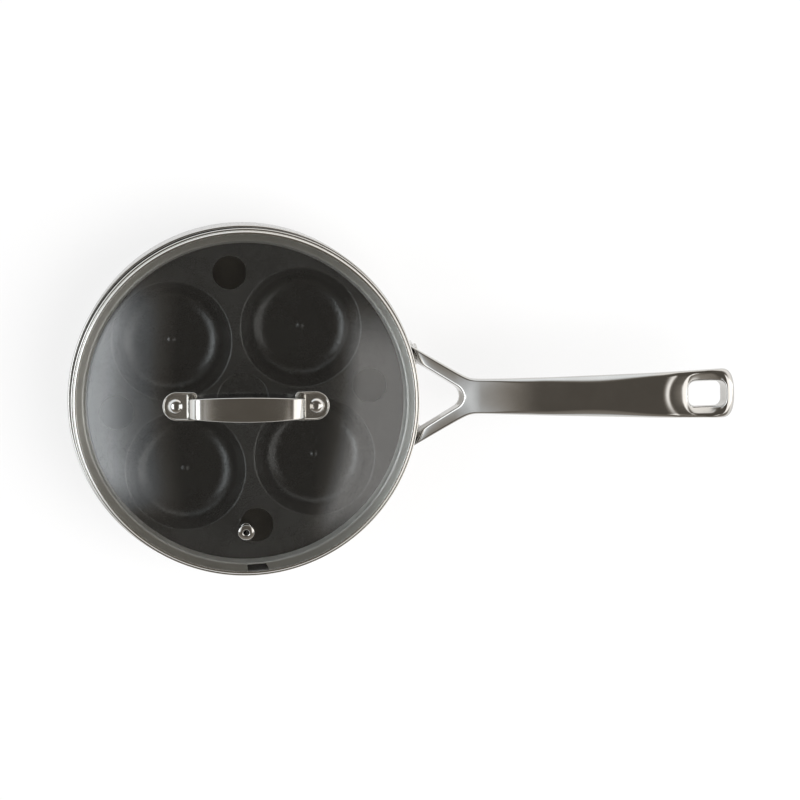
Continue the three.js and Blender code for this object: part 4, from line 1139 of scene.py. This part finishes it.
def edgeNormal(x):  # of the outer edge in plan
    step = 0.01
    if x > handle["reach"] - 0.05:
        return (1.0, 0.0)
    slope = (halfWidth(x + step) - halfWidth(x - step)) / (2 * step)
    size = math.hypot(slope, 1)
    return (-slope / size, 1 / size)


def rowPoints(row, height, draft):  # points from the outer edge to the inner point
    (xi, yi), (xo, yo), bulge, lean = row
    length = math.hypot(xo - xi, yo - yi)
    dx, dy = (xo - xi) / length, (yo - yi) / length
    nx, ny = edgeNormal(xo)
    square = max(abs(dx * nx + dy * ny), 0.25)
    wide = bevelAt(xo)[0]
    crease = 0.16
    # close together on the rounded edge, then over the bevel and past its crease
    outside = [share * min(0.7, wide * 0.6) for share in (0, 0.05, 0.14, 0.3, 0.5, 0.7)]
    last = outside[-1]
    outside += [last + (wide - crease - last) * i / 5 for i in range(1, 6)]
    outside += [wide, wide + crease, wide + 0.4]
    edge = [value / square for value in outside]
    inner = [0, 0.06, 0.18, 0.36, 0.6, 0.9, 1.3]
    most = length * 0.94
    if edge[-1] + inner[-1] > most:
        squeeze = most / (edge[-1] + inner[-1])
        edge = [value * squeeze for value in edge]
        inner = [value * squeeze for value in inner]
    gap = length - edge[-1] - inner[-1]
    steps = handleRowCount["across"]
    middle = [edge[-1] + gap * i / steps for i in range(1, steps)]
    radiusIn, radiusOut = math.hypot(xi, yi), math.hypot(xo, yo)
    points = []
    for spot in edge + middle + [length - value for value in reversed(inner)]:
        share = spot / length
        x, y = xo - dx * spot, yo - dy * spot
        if bulge > 0:
            grow = 1 + (between(radiusOut, radiusIn, share) / math.hypot(x, y) - 1) * bulge ** 2
            x, y = x * grow, y * grow
        points.append((x + lean * draft * share ** 2, y, height(x, y, spot * square)))
    return points


def makeHandle():
    rows = handleRows()
    levels = handleRowCount["wall"]
    points, faces = [], []

    def faceBetween(chains):
        for near, far in zip(chains, chains[1:]):
            for i in range(len(near) - 1):
                faces.append((near[i], near[i + 1], far[i + 1], far[i]))

    def strip(first, second):  # a wall between two chains of points
        chains = [first]
        for i in range(1, levels):
            chain = []
            for a, b in zip(first, second):
                points.append(tuple(p + (q - p) * i / levels for p, q in zip(points[a], points[b])))
                chain.append(len(points) - 1)
            chains.append(chain)
        faceBetween(chains + [second])

    for side in (1, -1):
        faceRows = []
        for height, draft in ((topHeight, 0), (bottomHeight, 1)):
            made = []
            for row in rows:
                line = [(x, y * side, z) for x, y, z in rowPoints(row, height, draft)]
                made.append(list(range(len(points), len(points) + len(line))))
                points.extend(line)
            faceBetween(made)
            faceRows.append(made)
        top, bottom = faceRows
        strip([row[0] for row in top], [row[0] for row in bottom])
        strip(top[0], bottom[0])
        walled = [k for k, row in enumerate(rows) if row[3]]
        apex = next(a for a, b in zip(walled, walled[1:]) if b - a > 1)
        for span in (range(apex + 1), [k for k in walled if k > apex]):
            strip([top[k][-1] for k in span], [bottom[k][-1] for k in span])
    piece = makeMesh("long_handle_finish", points, faces, 50)
    joinedBy("UNION", piece, [makePad(side) for side in (1, -1)], 50)
    return finished(piece, castSteel, "long_handle")


def onWall(side, height):  # +X straight out of the pan's wall
    return turned(side * handle["padAzimuth"]) @ shifted(0, 0, height)


def makePad(side):  # a plate that follows the wall, with a hole for its rivet
    inner = handle["root"]
    outer = inner + handle["padThickness"]
    soft = handle["padRound"]

    def ringOf(radius, inset):
        wide, tall = handle["padWidth"] / 2 - inset, handle["padHeight"] / 2 - inset
        line = roundedBox(wide, tall, handle["padCorner"] - inset, 8)
        return [(math.sqrt(radius ** 2 - y * y), y, z) for y, z in line]

    levels = [(inner, 0.3), (inner + 0.3, 0)]
    levels += [(outer - soft + soft * sinOf(a), soft - soft * cosOf(a)) for a in (0, 22.5, 45, 67.5, 90)]
    plate = lofted("pad", [ringOf(radius, inset) for radius, inset in levels], 50)
    placed(plate, onWall(side, handle["padMiddle"]))
    bore = drill(panRivet["radius"] + panRivet["play"], -9, 9, 32)
    placed(bore, onWall(side, handle["rivetMiddle"]) @ shifted(inner, 0, 0) @ turned(90, "Y"))
    return joinedBy("DIFFERENCE", plate, [bore], 50)


def makePanRivets():
    wall = vessel["innerRadius"]
    low = wall - handle["gap"] - (wall - math.sqrt(wall ** 2 - panRivet["headRadius"] ** 2))
    tailFace = handle["root"] + handle["padThickness"] + handle["gap"]
    head, tail = panRivet["headHeight"], panRivet["tailHeight"]
    headRound, tailRound = head * 0.7, tail * 0.7
    section = [(0.0, low - head)]
    section += arcPoints((panRivet["headRadius"] - headRound, low - head * 0.3), headRound, -90, 0, 6)
    section += [(panRivet["headRadius"], low), (panRivet["radius"], low), (panRivet["radius"], tailFace),
                (panRivet["tailRadius"], tailFace)]
    section += arcPoints((panRivet["tailRadius"] - tailRound, tailFace + tail * 0.3), tailRound, 0, 90, 6)
    section += [(0.0, tailFace + tail)]
    piece = placed(spun("handle_rivet_finish", section, 48), shifted(0, 0, -low))
    azimuth = handle["padAzimuth"]
    copiedRound(piece, 2, low, -azimuth, 2 * azimuth, 90, (0, 0, handle["rivetMiddle"]), rivetSteel)
    return finished(piece, rivetSteel, "handle_rivet_near", "handle_rivet_far")


makeHandle()
makePanRivets()


# Studio

studio = {"distance": 5, "tilt": 5.5, "sway": 2.2, "roll": 1.15, "aim": (0.0937, -0.0018, 0.068),
          "width": 0.4785, "sensor": 36, "floorTone": 0.95, "floorSize": 8, "glow": 0.75}


def makeCamera():
    data = bpy.data.cameras.new("camera")
    data.sensor_width = studio["sensor"]
    data.lens = studio["sensor"] * studio["distance"] / studio["width"]
    data.clip_end = 30
    camera = linked("camera", data)
    lean = turned(-studio["tilt"], "X") @ turned(-studio["sway"], "Y")
    camera.location = Vector(studio["aim"]) + studio["distance"] * (lean @ Vector((0, 0, 1)))
    camera.rotation_euler = (lean @ turned(-studio["roll"])).to_euler()
    bpy.context.scene.camera = camera


def makeFloor():
    half = studio["floorSize"] / 2
    mesh = bpy.data.meshes.new("floor")
    corners = [(-half, -half, 0), (half, -half, 0), (half, half, 0), (-half, half, 0)]
    mesh.from_pydata(corners, [], [(0, 1, 2, 3)])
    floor = linked("floor", mesh)
    sheet = newFinish("floor")
    path = sheet.node("ShaderNodeLightPath")
    seen = path + path.out("Is Glossy Ray") + path.out("Is Transmission Ray")
    tone = studio["floorTone"]
    matt = sheet.node("ShaderNodeBsdfDiffuse", {}, {"Color": (tone, tone, tone, 1)})
    glow = sheet.node("ShaderNodeEmission", {}, {"Color": (1, 1, 1, 1), "Strength": 1.0})
    mesh.materials.append(finishWith(sheet, sheet.node("ShaderNodeMixShader", {}, {
        0: seen * studio["glow"], 1: matt, 2: glow})))


# Each box is a ramp of (sideways run over the rise of a ray, light), and it fades with the run away from
# its middle. Low down a pale room shows, more of it beyond the object than before it.
lightBox = {"run": 2.6, "base": 0.1, "level": 4.7, "leftReach": (-0.1, 0.68), "rightReach": (-0.33, 0.68),
            "edge": 0.24, "slant": 0.1,
            "left": [(0.35, 0), (0.41, 0.1), (0.45, 0.2), (0.48, 0.3), (0.51, 0.41), (0.53, 0.5),
                     (0.58, 0.66), (0.62, 0.84), (0.7, 1.38), (0.76, 1.9), (0.81, 2.5), (0.86, 3.0),
                     (0.91, 3.35), (1.0, 3.55), (1.09, 4.7), (1.5, 1.2), (2.2, 0)],
            "right": [(0.48, 0), (0.53, 0.07), (0.57, 0.15), (0.64, 0.63), (0.72, 1.45), (0.9, 1.5)],
            "dark": (1.1, 0.98, 0.84, 1), "cool": (0.965, 1.0, 1.03, 1), "warm": (1.03, 1.0, 0.965, 1)}
room = {"height": 0.3, "tilt": 0.21, "hollow": 0.07, "edge": (0.17, -0.1), "light": 0.95,
        "upperEdge": (0.8, 0.2), "upperLight": 0.16}
lamp = {"place": (0.6, -0.25, 1.7), "aim": (0.09, 0, 0.05), "size": 1.2, "power": 21}


def makeWorld():
    world = bpy.data.worlds.new("studio")
    bpy.context.scene.world = world
    world.use_nodes = True
    sheet = NodeSheet(world.node_tree)
    way = sheet.node("ShaderNodeTexCoord")
    parts = sheet.node("ShaderNodeSeparateXYZ", {}, {"Vector": way})
    x, y, z = parts, parts.out("Y"), parts.out("Z")
    above = z.pair("MAXIMUM", z, 0.05)
    across, away = x / above, y / above

    def box(side, run):
        stops = [(0.0, 0.0)]
        stops += [(spot / lightBox["run"], tone / lightBox["level"]) for spot, tone in lightBox[side]]
        ramp = sheet.node("ShaderNodeValToRGB", {"stops": stops}, {"Fac": run / lightBox["run"]})
        middle, reach = lightBox[side + "Reach"]
        width = away.pair("ABSOLUTE", away - middle)
        return ramp * sheet.smooth(width, reach + lightBox["edge"], reach - lightBox["edge"])

    boxes = box("left", across * -1.0) + box("right", across - away * lightBox["slant"])
    limit = room["height"] + y * room["tilt"] - y.pair("ABSOLUTE", y) * room["hollow"]
    pale = (sheet.smooth(z - limit, *room["edge"]) * room["light"]
            + sheet.smooth(z, *room["upperEdge"]) * room["upperLight"])
    lit = boxes * lightBox["level"] + pale
    side = sheet.mixColour(sheet.smooth(across, -0.4, 0.4), lightBox["cool"], lightBox["warm"])
    colour = sheet.mixColour(sheet.smooth(lit, 0.0, 0.6), lightBox["dark"], side)
    sheet.node("ShaderNodeOutputWorld", {}, {"Surface": sheet.node(
        "ShaderNodeBackground", {}, {"Color": colour, "Strength": lit + lightBox["base"]})})


def makeLamp():
    data = bpy.data.lights.new("overhead", "AREA")
    data.shape = "DISK"
    data.size = lamp["size"]
    data.energy = lamp["power"]
    made = linked("overhead", data)
    made.location = lamp["place"]
    made.rotation_euler = (Vector(lamp["place"]) - Vector(lamp["aim"])).to_track_quat("Z", "Y").to_euler()
    made.visible_glossy = False


makeCamera()
makeFloor()
makeWorld()
makeLamp()
bpy.context.scene.view_settings.view_transform = "Standard"
print("studio made")
